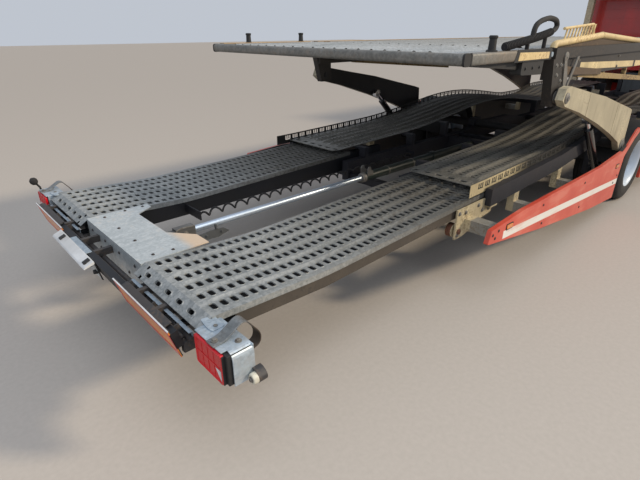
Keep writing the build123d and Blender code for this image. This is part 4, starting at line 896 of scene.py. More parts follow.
def flat_deck(name, x_from, x_to, height, body):
    """Perforated sheet between two x values, with its dark throats of painted shade under it."""
    def lift(x, y):
        return np.column_stack([x, y, height + ribs(y, middles(UPPER_ROWS), 0.046, 0.010)])

    count = int((x_to - x_from - 0.06) / HOLE_PITCH)
    first = (x_from + x_to - HOLE_PITCH * (count - 1)) / 2
    xs = first + HOLE_PITCH * np.arange(count)
    centres = [(x, y) for x in xs for y in UPPER_ROWS]
    sheet = Stock().add(*perforated(xs, UPPER_ROWS, UPPER_HOLE, 0.025, (x_from, x_to), (-1.06, 1.06), lift,
                                    True))
    sheet.add(*lips(hole_line(UPPER_HOLE, True), centres, lift, [(1.0, 0.0), (0.92, 0.004)]))
    for x in (x_from, x_to):
        sheet.grid([[(x, y, height - drop) for y in (-1.06, 1.06)] for drop in (0.0, 0.006)])
    sheet.piece(name + "_sheet", upper_zinc, body, "galvanised", smooth=True, nodes=[name])
    throats = Stock().add(*lips(hole_line(UPPER_HOLE, True), centres, lift, [(0.93, 0.003), (0.75, 0.012)]))
    throats.piece(name + "_throats", shade_and_seam_black, body, "galvanised", nodes=[name])


flat_deck("tail_deck", 1.400, 2.350, 0.900, "tail_flap")
flat_deck("upper_deck", 2.430, 7.600, 0.900, "upper_deck")
flat_deck("cab_deck", 8.640, 11.168, 1.950, "cab_deck")

# %% [markdown]
# ## The tail
# Lamp boxes, lamps, hoops and rollers are the same on both sides. The plate holder sits left of the middle.
# A lamp box is a folded sheet: a strap along a rounded line gives its bend and its thickness.

# %% Corner plates and lamp boxes
wall = rounded([(1.010, -0.0115), (1.2275, -0.0115), (1.2275, -0.156)], 0.034, 6)
boxes = Stock().strap(wall, (-0.104, -0.012), 0.005, axis=0)
boxes.box((-0.128, -0.100), (1.010, 1.196), (-0.0140, -0.0090))
boxes.box((-0.016, -0.011), (1.010, 1.226), (-0.156, -0.012))
boxes.box((-0.118, -0.016), (1.006, 1.011), (-0.156, -0.010))
boxes.prism([(1.008, -0.151), (1.226, -0.151), (1.226, -0.157), (1.008, -0.157)], (-0.100, -0.016), axis=0)
boxes.flipped().piece("lamp_box_shells", box_zinc, "slide_deck", "galvanised", 0.0015, nodes=["lamp_boxes"])
plates = Stock().prism(rounded([(-0.082, 0.972), (-0.091, 1.035), (-0.088, 1.072), (-0.030, 1.070),
                                (-0.030, 0.985)], 0.010, 2, True),
                       (-0.010, -0.004), axis=2)
plates.flipped().piece("tail_corner_plates", box_zinc, "slide_deck", "galvanised", 0.001)
fixings = Stock()
for at in ((-0.112, 1.128, -0.002), (-0.060, 1.050, -0.009), (-0.045, 1.180, -0.009)):
    fixings.bolt(at, (0, 0, 1), 0.009)
fixings.bolt((0.073, 1.128, -0.072), (0.97, 0, 0.25), 0.009)
fixings.flipped().piece("tail_bolts", bolt_steel, "slide_deck", "galvanised")

# %% [markdown]
# One large red lens with raised edges, in a shorter black housing whose side shows.
# The lens is a stack of shrinking rings, which round its rim without a modifier.

# %% Tail lamps
housing = Stock().box((-0.122, -0.018), (1.0125, 1.222), (-0.149, -0.017))
housing.box((-0.134, -0.100), (1.198, 1.206), (-0.149, -0.022))
housing.flipped().piece("tail_lamp_housings", black_plastic, "slide_deck", "black_plastic", 0.002,
                        nodes=["tail_lamps"])
rim = np.array(oblong((1.0140, 1.2040), (-0.0190, -0.1500), 0.010, 3))
middle = np.array([1.109, -0.0845])
lenses = Stock()
rings = []
for x, share in ((-0.118, 1.0), (-0.1340, 1.0), (-0.1365, 0.975), (-0.1365, 0.93), (-0.1330, 0.90)):
    flat = middle + (rim - middle) * share
    rings.append(np.column_stack([np.full(len(flat), x), flat]))
lenses.rings(rings)
for y in (1.064, 1.105, 1.146):
    lenses.box((-0.1345, -0.1320), (y - 0.0015, y + 0.0015), (-0.144, -0.026))
lenses.box((-0.1350, -0.1320), (1.020, 1.198), (-0.0865, -0.0825))
lenses.flipped().piece("tail_lamp_lenses", lens_red, "slide_deck", "lamp_red", smooth=True,
                       nodes=["tail_lamps"])
reflectors = Stock().prism([(1.156, -0.094), (1.192, -0.094), (1.192, -0.140)], (-0.1352, -0.1325), axis=0)
reflectors.flipped().piece("tail_lamp_reflectors", white, "slide_deck", "lamp_clear", 0.001)

# %% [markdown]
# A bent strap guards each lamp, and a roller in a fork keeps the tail off the ground.
# The strap follows a line seen from the side. The roller is a turned profile, so it is truly round.

# %% Hoops and rollers
hoop = rounded([(-0.134, -0.006), (-0.084, -0.005), (0.004, 0.048), (0.073, -0.047), (0.066, -0.092),
                (0.022, -0.104)], 0.030, 5)
hoops = Stock().strap(hoop, (1.104, 1.156), 0.005)
hoops.flipped().piece("tail_hoop_straps", hoop_zinc_shaded_front, "slide_deck", "galvanised", 0.0012,
                      nodes=["tail_hoops"])
roller = [(0.000, 0.006), (0.000, 0.019), (0.004, 0.0215), (0.012, 0.0225), (0.026, 0.0225),
          (0.034, 0.0215), (0.038, 0.019),
          (0.038, 0.006)]
rollers = Stock().turned(roller, (-0.048, 1.2515, -0.142), (1, 0, 0), 32, closed=True)
rollers.flipped().piece("tail_roller_wheels", cream, "slide_deck", "roller", smooth=True,
                        nodes=["tail_rollers"])
fork = rounded([(1.229, -0.112), (1.252, -0.1145), (1.2735, -0.132), (1.2735, -0.152), (1.2560, -0.1685),
                (1.229, -0.1685)], 0.012, 4)
forks = Stock().strap(fork, (-0.028, 0.010), 0.0022, axis=0)
forks.prism(rounded([(1.229, -0.112), (1.252, -0.1145), (1.2725, -0.132), (1.2725, -0.152),
                     (1.2560, -0.1685), (1.229, -0.1685)], 0.012, 4, True),
            (-0.008, -0.003), axis=0)
forks.turned([(0, 0.0055), (0.046, 0.0055)], (-0.050, 1.2515, -0.142), (1, 0, 0), 12)
forks.flipped().piece("tail_roller_forks", dark_steel, "slide_deck", "dark_steel", 0.0006,
                      nodes=["tail_rollers"])
pins = Stock().bolt((-0.047, 1.2515, -0.142), (-1, 0, 0), 0.0085)
pins.flipped().piece("tail_roller_bolts", bolt_steel, "slide_deck", "galvanised")

# %% [markdown]
# A board leans: from its top edge it runs down along (0.271, -0.9625) in x and z.
# Panel, border, edge and back are thin blocks of their own, so that each line stays crisp.


# %% Marking boards
def board_box(stock, into, drop, y):
    """Block of a board: into it from its face, drop down from its top edge, and y across."""
    corners = [(-0.206 + 0.271 * d + 0.9625 * i, -0.018 - 0.9625 * d + 0.271 * i)
               for i, d in ((into[0], drop[0]), (into[0], drop[1]), (into[1], drop[1]), (into[1], drop[0]))]
    return stock.prism(corners, y)


panels, borders, backs, lines = Stock(), Stock(), Stock(), Stock()
board_box(panels, (0.0, 0.004), (0.002, 0.1475), (0.394, 0.944))
board_box(borders, (-0.0012, 0.003), (0.007, 0.026), (0.3945, 0.9435))
board_box(borders, (-0.0012, 0.003), (0.124, 0.1470), (0.3945, 0.9435))
for a, b in ((0.3945, 0.416), (0.922, 0.9435)):
    board_box(borders, (-0.0012, 0.003), (0.0262, 0.1238), (a, b))
board_box(lines, (-0.0014, 0.0044), (0.0, 0.0066), (0.394, 0.944))
board_box(backs, (0.0041, 0.0085), (0.001, 0.1460), (0.396, 0.942))
board_box(backs, (0.0085, 0.040), (0.008, 0.012), (0.470, 0.900))
for y in (0.45, 0.69, 0.90):
    board_box(backs, (0.0085, 0.060), (0.030, 0.110), (y - 0.003, y + 0.003))
panels.flipped().piece("marking_board_panels", board_orange, "slide_deck", "board", 0.0008,
                       nodes=["marking_boards"])
borders.flipped().piece("marking_board_borders", board_red, "slide_deck", "board", 0.0004,
                        nodes=["marking_boards"])
lines.flipped().piece("marking_board_edges", white, "slide_deck", "board", 0.0005, nodes=["marking_boards"])
# The backs and brackets take the dark steel finish, which paints the shade behind the boards.
backs.flipped().piece("marking_board_backs", dark_steel, "slide_deck", "galvanised", 0.0006,
                      nodes=["marking_boards"])

# %% [markdown]
# A sloping white bar with two black lamps over a bare plate, on rubber buffers.
# It stands on brackets along the crossbeam, which are bent straps and plain struts.

# %% Plate holder
bar = Stock().prism(rounded([(-0.206, -0.026), (-0.256, -0.048), (-0.262, -0.058), (-0.206, -0.042)], 0.006,
                            3, True), (-0.150, 0.390))
bar.piece("plate_holder_bar", white, "slide_deck", "holder_white", 0.002, nodes=["plate_holder"])
extras = Stock()
for y in (0.290, -0.105):
    extras.prism([(-0.215, -0.0285), (-0.248, -0.0430), (-0.248, -0.0385), (-0.215, -0.0240)],
                 (y - 0.017, y + 0.017))
    extras.box((-0.250, -0.212), (y - 0.020, y + 0.020), (-0.0625, -0.050))
extras.prism([(-0.206, -0.040), (-0.200, -0.040), (-0.180, -0.145), (-0.186, -0.145)], (-0.145, 0.385))
for y in (-0.120, 0.360):
    extras.turned([(0, 0.012), (0.018, 0.012), (0.022, 0.009)], (-0.192, y, -0.100), (-0.98, 0, 0.19), 20)
extras.piece("plate_holder_lamps", black_plastic, "slide_deck", "black_plastic", 0.0012,
             nodes=["plate_holder"])
plate = Stock().prism([(-0.2075, -0.046), (-0.2045, -0.046), (-0.1865, -0.140), (-0.1895, -0.140)],
                      (-0.130, 0.370))
plate.piece("plate_holder_plate", cover_zinc_painted_sun, "slide_deck", "galvanised", 0.0004, nodes=["plate_holder"])
rails, struts = Stock(), Stock()
for y_from, y_to, x_from in ((-0.757, -0.500, -0.196), (-0.024, 0.237, -0.207), (0.485, 0.909, -0.196)):
    rails.strap(rounded([(x_from, -0.031), (-0.172, -0.031), (-0.172, -0.048)], 0.006, 3), (y_from, y_to),
                0.004)
    struts.box((-0.176, -0.058), (y_from + 0.02, y_from + 0.045), (-0.080, -0.042))
    struts.box((-0.176, -0.058), (y_to - 0.045, y_to - 0.02), (-0.080, -0.042))
for y in (-0.93, -0.66, -0.40, 0.40, 0.66, 0.93):
    struts.box((-0.150, -0.060), (y - 0.012, y + 0.012), (-0.150, -0.100))
struts.tube([(-0.118, -0.960, -0.095), (-0.118, 0.960, -0.095)], 0.016, 12)
struts.tube([(-0.150, -0.940, -0.070), (-0.150, 0.940, -0.070)], 0.007, 8)
struts.piece("tail_bracket_struts", dark_steel, "slide_deck", "dark_steel", 0.0008)
rails.strap([(-0.128, -0.058), (-0.112, -0.058), (-0.112, -0.085)], (-0.955, -0.395), 0.003)
rails.strap([(-0.128, -0.058), (-0.112, -0.058), (-0.112, -0.085)], (0.395, 0.955), 0.003)
rails.piece("tail_brackets", box_zinc, "slide_deck", "galvanised", 0.0008)

# %% [markdown]
# Studs hold the centre plate down, and a small lamp stands on a rubber stalk at the left corner.
# The plate's own shape is right already, so only its bolts are added.

# %% Centre plate and tail stalk lamp
studs = Stock()
for x, y in ((0.02, 0.33), (0.02, 0.11), (0.02, -0.11), (0.02, -0.33), (0.15, 0.355), (0.26, 0.355),
             (0.12, -0.345)):
    studs.bolt((x, y, -0.001), (0, 0, 1), 0.0065)
for y, z in ((0.30, -0.045), (0.10, -0.045), (-0.10, -0.045), (-0.30, -0.045), (0.20, -0.120),
             (-0.20, -0.120)):
    studs.bolt((-0.0655, y, z), (-1, 0, 0), 0.0065)
studs.piece("centre_plate_studs", dark_steel, "slide_deck", "dark_steel")
stalk = Stock().tube([(-0.105, 1.235, -0.030), (-0.108, 1.238, -0.004), (-0.128, 1.240, 0.030)], 0.007,
                     up=(0, 1, 0))
stalk.turned([(0, 0.010), (0.010, 0.022), (0.026, 0.027), (0.042, 0.022), (0.052, 0.008)],
             (-0.123, 1.240, 0.022), (-0.5, 0, 0.85))
stalk.piece("tail_stalk_lamp", rubber, "slide_deck", "tyre", smooth=True)

# %% [markdown]
# ## Between the tracks
# A curly cable and a hydraulic ram join the sliding deck to the chassis.
# The helix winds round the route's own line: centre + r * (cos t * side + sin t * up), 14 points a turn.
# Drawing the route as a curve first lets the turns follow it at an even pitch.

# %% Curly cable
CABLE_ROUTE = [(0.568, 0.215, -0.100), (0.610, 0.215, -0.100), (2.858, 0.215, -0.100),
               (2.900, 0.215, -0.100)]
CABLE_WIRE = 0.014
COIL_R = 0.0200
COIL_PITCH = 0.102

line = bpy.data.curves.new("cable_route", "CURVE")
line.dimensions = "3D"
spline = line.splines.new("NURBS")
spline.points.add(len(CABLE_ROUTE) - 1)
for point, at in zip(spline.points, CABLE_ROUTE):
    point.co = (*(np.array(at) + DATUM), 1)
spline.order_u = 3
spline.use_endpoint_u = True
route = bpy.data.objects.new("cable_route", line)
centre = np.array([tuple(v.co) for v in bpy.data.meshes.new_from_object(route).vertices]) - DATUM
bpy.data.objects.remove(route)
run = np.concatenate([[0], np.cumsum(np.linalg.norm(np.diff(centre, axis=0), axis=1))])
along = np.linspace(0, run[-1], int(14 * run[-1] / COIL_PITCH))
middle = np.column_stack([np.interp(along, run, centre[:, k]) for k in range(3)])
radius = COIL_R * smooth_step(along, 0.0, 0.05) * smooth_step(run[-1] - along, 0.0, 0.05)
turn = 2 * pi * along / COIL_PITCH
helix = middle + np.column_stack([0 * turn, radius * np.cos(turn), radius * np.sin(turn)])
wire = Stock().tube(helix, CABLE_WIRE / 2, 8, up=(1, 0, 0))
cable = wire.piece("coil_cable_wire", rubber, "chassis", "black_plastic", smooth=True, nodes=["coil_cable"])
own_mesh(cable)

# %% [markdown]
# The ram has a turned gland at its mouth, a pressure pipe along it, hooks, a clevis and a bright rod.
# Turned profiles suit the round ones, and straps and prisms the ones of plate.

# %% Ram fittings
gland = [(-0.022, 0.0235), (-0.022, 0.030), (-0.016, 0.036), (0.000, 0.041), (0.018, 0.041), (0.022, 0.038),
         (0.022, 0.0235)]
fittings = Stock().turned(gland, (1.940, 0, -0.088), (1, 0, 0), 28, closed=True)
fittings.tube(rounded([(2.03, 0.030, -0.088), (2.03, 0.047, -0.088), (2.09, 0.047, -0.088),
                       (2.86, 0.047, -0.088), (2.88, 0.034, -0.088)],
                      0.015), 0.006, 10, up=(0, 0, 1))
for x in (2.03, 2.88):
    fittings.turned([(0, 0.011), (0.016, 0.011), (0.018, 0.009)], (x, 0.034, -0.088), (0, 1, 0), 6)
for x in (2.25, 2.60):
    fittings.turned([(-0.006, 0.0385), (-0.006, 0.0415), (0.006, 0.0415), (0.006, 0.0385)], (x, 0, -0.088),
                    (1, 0, 0), 28, True)
fittings.piece("slide_ram_fittings", bolt_steel, "chassis", "cylinder", smooth=True)
hook = rounded([(1.962, -0.070), (1.960, -0.012), (1.975, 0.004), (2.000, -0.002), (2.004, -0.030),
                (2.030, -0.040), (2.034, -0.070)],
               0.010, 3, True)
hooks = Stock().prism(hook, (0.032, 0.040)).prism(hook, (-0.040, -0.032))
hooks.piece("slide_ram_hooks", bolt_steel, "chassis", "galvanised", 0.0015)
sleeve = Stock().turned([(0, 0.0165), (0, 0.0205), (0.004, 0.0220), (1.640, 0.0220), (1.640, 0.0165)],
                        (0.412, 0, -0.088), (1, 0, 0), 28, closed=True)
sleeve.piece("slide_ram_sleeve", rod_chrome, "slide_deck", "chrome_rod", smooth=True)
clevis = Stock().strap(rounded([(0.285, -0.118), (0.285, -0.052), (0.330, -0.046), (0.405, -0.052)], 0.012),
                       (-0.034, -0.028), 0.006)
clevis.bolt((0.345, 0.029, -0.088), (0, 1, 0), 0.011).bolt((0.345, -0.029, -0.088), (0, -1, 0), 0.011)
clevis.turned([(0, 0.022), (0.004, 0.022), (0.004, 0.012)], (0.345, 0.029, -0.088), around=20)
clevis.piece("slide_ram_pin", bolt_steel, "slide_deck", "galvanised")
lug = Stock().prism([(0.330, -0.130), (0.350, -0.096), (0.470, -0.082), (0.560, -0.088), (0.600, -0.118),
                     (0.520, -0.140)], (-0.100, -0.094))
lug.box((0.330, 0.400), (-0.098, -0.030), (-0.126, -0.119))
lug.prism([(0.505, -0.084), (0.517, -0.084), (0.513, -0.052), (0.503, -0.052)], (-0.106, -0.088))
for x in (0.385, 0.440, 0.545):
    lug.bolt((x, -0.0995, -0.108), (0, -1, 0), 0.008)
lug.piece("slide_ram_bracket", engine_grey, "slide_deck", "galvanised", 0.001)

# %% [markdown]
# ## Side skirts
# Each is a folded panel. Its face stands 5.5 mm inside the truck's side, so that bolts fit in front.
# Rings set in from the outline keep the fold even round every corner.

# %% Skirts
REAR_PANEL = [(1.650, -0.160), (1.680, -0.075), (2.080, -0.052), (3.600, -0.060), (4.160, -0.020),
              (4.450, 0.100),
              (4.690, 0.200), (4.680, 0.155), (4.450, 0.060), (4.250, -0.080), (4.225, -0.300),
              (4.225, -0.490),
              (3.590, -0.440), (2.440, -0.290)]
FRONT_PANEL = [(5.190, -0.060), (5.215, -0.022), (8.700, -0.022), (8.700, -0.470), (5.150, -0.490),
               (5.150, -0.300)]
ARCH = [(4.180, -0.030), (4.430, 0.140), (4.690, 0.194), (4.950, 0.140), (5.215, -0.030), (5.170, -0.060),
        (4.930, 0.100),
        (4.690, 0.150), (4.450, 0.100), (4.210, -0.060)]


def panel_shell(stock, outline, radius):
    """Panel with its edges folded inwards: a face, a rounded bend and a flange 30 mm deep."""
    edge = np.array(rounded(outline, radius, 3, True))
    middle = edge.mean(axis=0)
    rings = []
    for y, inset in ((1.2395, 0.0), (1.2655, 0.0), (1.2685, 0.0015), (1.2695, 0.005)):
        toward = (middle - edge) / np.linalg.norm(middle - edge, axis=1)[:, None]
        flat = edge + inset * toward
        rings.append(np.column_stack([flat[:, 0], np.full(len(flat), y), flat[:, 1]]))
    count = len(edge)
    faces = [(a * count + k, a * count + (k + 1) % count, (a + 1) * count + (k + 1) % count,
              (a + 1) * count + k)
             for a in range(3) for k in range(count)]
    return stock.add(np.vstack(rings), faces + [tuple(3 * count + k for k in range(count))])


skirts = panel_shell(panel_shell(Stock(), REAR_PANEL, 0.012), FRONT_PANEL, 0.020)
skirts.prism(ARCH, (1.2550, 1.2690))
skirts.flipped().piece("side_skirt_panels", skirt_red, "chassis", "skirt_red", nodes=["side_skirts"])
linings = Stock()
for outline in (REAR_PANEL, FRONT_PANEL):
    middle = np.mean(outline, axis=0)
    edge = np.array(rounded(outline, 0.012, 3, True))
    inner = [p + 0.006 * (middle - p) / np.linalg.norm(middle - p) for p in edge]
    linings.prism(inner, (1.2380, 1.2640))
linings.flipped().piece("side_skirt_linings", dark_steel, "chassis", "dark_steel", nodes=["side_skirts"])
seams = Stock()
for x in (6.40, 7.55):
    seams.box((x - 0.004, x + 0.004), (1.2660, 1.2705), (-0.455, -0.030))
seams.box((4.222, 4.238), (1.2400, 1.2690), (-0.475, -0.080))
seams.flipped().piece("side_skirt_seams", shade_and_seam_black, "chassis", "trim")
heads = Stock()
skirt_bolts = [(1.700, -0.110), (1.735, -0.140), (1.770, -0.100), (2.420, -0.100), (2.460, -0.250),
               (3.240, -0.120), (3.240, -0.330),
               (4.100, -0.310), (4.170, -0.250), (5.260, -0.080), (5.260, -0.430), (5.500, -0.200),
               (7.000, -0.200), (8.300, -0.200)]
for x, z in skirt_bolts:
    heads.turned([(0, 0.010), (0.0025, 0.010), (0.0030, 0.008)], (x, 1.2692, z), around=14)
    heads.turned([(0.0025, 0.006), (0.0052, 0.0055)], (x, 1.2692, z), around=6)
heads.flipped().piece("side_skirt_bolts", dark_steel, "chassis", "dark_steel")
bases, markers = Stock(), Stock()
for x, z in ((1.915, -0.110), (4.097, -0.147), (5.600, -0.120), (7.300, -0.120)):
    bases.prism(rounded([(x - 0.048, z - 0.020), (x + 0.048, z - 0.024), (x + 0.048, z + 0.020),
                         (x - 0.048, z + 0.024)], 0.012, 3, True),
                (1.2680, 1.2715))
    markers.prism(rounded([(x - 0.040, z - 0.013), (x + 0.040, z - 0.016), (x + 0.040, z + 0.013),
                           (x - 0.040, z + 0.016)], 0.010, 3, True),
                  (1.2700, 1.2748))
bases.flipped().piece("side_marker_bases", black_plastic, "chassis", "black_plastic", 0.0008)
markers.flipped().piece("side_marker_lenses", lens_amber, "chassis", "lamp_red", 0.0012)

# %% [markdown]
# Hangers carry the tracks' sides, and a guide roller turns under each track.
# The hangers keep their solid shape and get bolt heads, which show where they are fixed.

# %% Outriggers
studs = Stock()
for x, z in ((1.725, -0.050), (1.725, -0.200), (1.800, -0.060), (1.960, -0.050), (2.020, -0.100),
             (2.110, -0.020), (2.110, -0.110)):
    studs.bolt((x, 1.0215, z), (0, 1, 0), 0.010)
for x in (2.450, 3.240, 5.500, 7.000, 8.300):
    for side, z in ((-0.025, -0.150), (0.025, -0.150), (-0.025, -0.186), (0.025, -0.186)):
        studs.bolt((x + side, 1.0592, z), (0, 1, 0), 0.007)
studs.flipped().piece("outrigger_bolts", bolt_steel, "chassis", "galvanised")
roller = [(0.0, 0.014), (0.0, 0.040), (0.005, 0.046), (0.040, 0.046), (0.045, 0.040), (0.045, 0.014)]
guides = Stock().turned(roller, (1.735, 0.9485, -0.176), around=32)
guides.turned([(0, 0.020), (0.010, 0.020), (0.012, 0.017)], (1.735, 1.0210, -0.176), around=6)
guides.flipped().piece("guide_rollers", rust, "chassis", "galvanised", smooth=True)

# %% [markdown]
# ## Upper deck
# The tail part is a frame of tubes with black end caps. The main part lies between deep dark side beams.
# Each tube is a rounded square carried along its length, as a rolled section is.

# %% Tail frame
tubes = Stock()
tubes.prism(oblong((1.340, 1.398), (0.847, 0.905), 0.021, 5), (-1.128, 1.128))
tubes.prism(oblong((1.062, 1.139), (0.847, 0.905), 0.014, 4), (1.380, 2.350), axis=0)
tubes.prism(oblong((-1.139, -1.062), (0.847, 0.905), 0.014, 4), (1.380, 2.350), axis=0)
tubes.prism(oblong((2.291, 2.349), (0.841, 0.893), 0.010, 3), (-1.064, 1.064))
tubes.piece("tail_frame_tubes", tube_zinc, "tail_flap", "frame_grey", smooth=True, nodes=["tail_frame"])
arms = Stock().prism(rounded([(2.345, 0.846), (2.400, 0.846), (2.412, 0.870), (2.400, 0.894),
                              (2.345, 0.894)], 0.012, 3, True),
                     (1.0605, 1.0835))
arms.turned([(0, 0.0150), (0.050, 0.0150)], (2.390, 1.0825, 0.870), around=20)
arms.flipped().piece("tail_frame_hinges", box_zinc, "tail_flap", "frame_grey", 0.001, nodes=["tail_frame"])
caps = Stock().prism(oblong((1.338, 1.400), (0.845, 0.907), 0.020, 5), (1.1270, 1.1395))
caps.prism(oblong((1.1260, 1.1405), (0.845, 0.907), 0.006, 2), (1.400, 1.412), axis=0)
caps.flipped()
caps.prism(rounded([(1.980, 0.770), (2.270, 0.760), (2.270, 0.848), (1.980, 0.848)], 0.015, 3, True),
           (-1.135, -1.068))
caps.prism([(1.450, 0.849), (1.980, 0.849), (1.980, 0.800), (1.900, 0.806), (1.480, 0.838)],
           (-1.110, -1.085))
caps.prism([(1.860, 0.843), (2.345, 0.843), (2.345, 0.908), (1.890, 0.908)], (-1.1415, -1.1380))
badge = Stock().prism([(1.905, 0.851), (2.315, 0.851), (2.315, 0.888), (1.915, 0.894)], (-1.1435, -1.1400))
badge.piece("tail_frame_plate", ochre, "tail_flap", "frame_yellow", 0.001)
for x in (2.030, 2.125, 2.220):
    caps.bolt((x, -1.1340, 0.805), (0, -1, 0), 0.008)
caps.piece("tail_frame_caps", black_plastic, "tail_flap", "black_plastic", 0.002)
posts = Stock()
for x, y in ((1.665, -1.100), (1.665, 1.100), (2.250, 1.100)):
    posts.turned([(0, 0.030), (0.006, 0.030), (0.010, 0.021), (0.060, 0.019), (0.066, 0.023),
                  (0.074, 0.023), (0.078, 0.018)],
                 (x, y, 0.9055), (0, 0, 1), 20)
posts.piece("tail_frame_posts", black_plastic, "tail_flap", "black_plastic", smooth=True)

# %% [markdown]
# A ribbed rubber bumper rises along the near rail and carries a loop handle.
# Its ribs are turned rings, set every 17 mm along the bumper's own line.

# %% Ribbed bumper, handle and edge strips
bumper = np.array(rounded([(1.800, -1.100, 0.924), (2.000, -1.100, 0.946), (2.250, -1.100, 0.976),
                           (2.370, -1.100, 0.996)], 0.08, 8))
loops = Stock().tube(bumper, 0.019, 14, up=(0, 1, 0))
along = np.concatenate([[0], np.cumsum(np.linalg.norm(np.diff(bumper, axis=0), axis=1))])
for d in np.arange(0.012, along[-1], 0.017):
    at = [np.interp(d, along, bumper[:, k]) for k in range(3)]
    ahead = [np.interp(d + 0.004, along, bumper[:, k]) - at[k] for k in range(3)]
    loops.turned([(-0.0040, 0.019), (-0.0025, 0.0235), (0.0025, 0.0235), (0.0040, 0.019)], at, ahead, 14)
handle = rounded([(2.130, -1.100, 0.960), (2.140, -1.100, 1.030), (2.210, -1.100, 1.058),
                  (2.320, -1.100, 1.074), (2.430, -1.100, 1.062),
                  (2.455, -1.100, 1.025), (2.400, -1.100, 0.998), (2.300, -1.100, 0.986)], 0.040, 5)
loops.tube(handle, 0.0155, 14, up=(0, 1, 0))
for x, z in ((1.850, 0.925), (2.080, 0.950), (2.310, 0.984)):
    loops.turned([(0, 0.012), (z - 0.903, 0.012)], (x, -1.100, 0.903), (0, 0, 1), 10)
loops.piece("tail_frame_loop", rubber, "tail_flap", "black_plastic", smooth=True)
strips = Stock().box((1.402, 2.345), (1.068, 1.132), (0.9055, 0.9110))
strips.piece("tail_edge_strip", tan, "tail_flap", "frame_grey", 0.0015)
strips = Stock().box((2.440, 7.590), (1.068, 1.132), (0.9055, 0.9110))
strips.piece("upper_edge_strip", tan, "upper_deck", "frame_yellow", 0.0015)

# %% [markdown]
# On the near side a rail rises to a low gable, over a slanted comb and dark brown webs, which are painted
# shade along the frame.
# The rail is a tube along a rounded line. Flat pieces are prisms with few points.

# %% Side rails of the upper deck
rail = rounded([(2.462, -1.100, 0.900), (2.474, -1.100, 0.926), (3.330, -1.100, 0.972),
                (4.380, -1.100, 0.918), (4.440, -1.100, 0.900)], 0.030, 5)
rails = Stock().tube(rail, 0.022, 16, up=(0, 1, 0))
for x in (3.320, 4.390):
    rails.turned([(-0.006, 0.0225), (-0.004, 0.0245), (0.004, 0.0245), (0.006, 0.0225)],
                 (x, -1.100, 0.918 + 0.054 * (x < 4)), (1, 0, 0), 18)
top = [(2.620, -1.085, 1.016), (3.150, -1.085, 1.046), (3.180, -1.085, 0.972)]
rails.tube(rounded(top, 0.020, 4), 0.009, 10, up=(0, 1, 0))
for k in range(10):
    x = 2.640 + 0.056 * k
    rails.prism([(x, 0.935), (x + 0.016, 0.935), (x + 0.046, 1.016 + 0.0566 * (x - 2.60)),
                 (x + 0.030, 1.016 + 0.0566 * (x - 2.60))], (-1.0890, -1.0810))
rails.piece("upper_frame_rails", ochre, "upper_deck", "frame_yellow", smooth=True)
webs = Stock().prism([(2.480, 0.904), (4.430, 0.904), (4.380, 0.915), (3.330, 0.968), (2.480, 0.924)],
                     (-1.104, -1.098))
webs.prism([(2.640, 0.790), (3.400, 0.735), (3.400, 0.695), (2.640, 0.735)], (-1.1330, -1.1200))
webs.piece("upper_frame_shade_webs", gable_shade_brown, "upper_deck", "frame_yellow", 0.001)
levers = Stock().prism([(2.565, 0.850), (2.600, 0.850), (2.690, 0.700), (2.665, 0.640), (2.640, 0.640)],
                       (-1.1480, -1.1400))
levers.prism([(2.800, 0.845), (2.830, 0.845), (2.720, 0.650), (2.700, 0.665)], (-1.1480, -1.1400))
levers.piece("upper_frame_levers", bolt_steel, "upper_deck", "galvanised", 0.001)
chords = Stock().prism([(2.960, 0.745), (4.770, 0.600), (4.770, 0.560), (2.960, 0.700)], (-1.1180, -1.0650))
chords.prism([(2.960, 0.745), (4.770, 0.600), (4.770, 0.560), (2.960, 0.700)], (1.0650, 1.1180))
for x in (3.550, 4.150, 4.730):
    for y in (-1.1180, 1.0650):
        top = 0.745 - (x - 2.960) * 0.0801 - 0.004
        chords.box((x, x + 0.036), (y + 0.010, y + 0.043), (top - 0.020, 0.716))
chords.piece("upper_frame_chords", mottled, "upper_deck", "frame_yellow", 0.003)
caps = Stock().turned([(0, 0.030), (0.006, 0.030), (0.010, 0.026), (0.0115, 0.010), (0.014, 0.008)],
                      (2.600, 1.1385, 0.850), around=32)
for head_x in (2.560, 5.860):
    caps.turned([(0, 0.040), (0.005, 0.040), (0.008, 0.034), (0.009, 0.026), (0.013, 0.024)],
                (head_x, 1.1385, 0.600), around=28)
    for x, z in ((-0.090, 0.800), (-0.020, 0.800), (0.030, 0.800), (0.020, 0.700), (-0.060, 0.740)):
        caps.bolt((head_x + x, 1.1390, z), (0, 1, 0), 0.010)
for x in (2.900, 3.800, 4.700, 6.200, 7.100):
    for z in (0.735, 0.815):
        caps.bolt((x, 1.1192, z), (0, 1, 0), 0.009)
caps.flipped().piece("upper_frame_caps", bolt_steel, "upper_deck", "galvanised", smooth=True)

# %% [markdown]
# Each arm gets pin caps at both ends, bolts round its torque tube, and folds on its face.
# The arms keep their solid shape. One loop gives both pairs the same details.

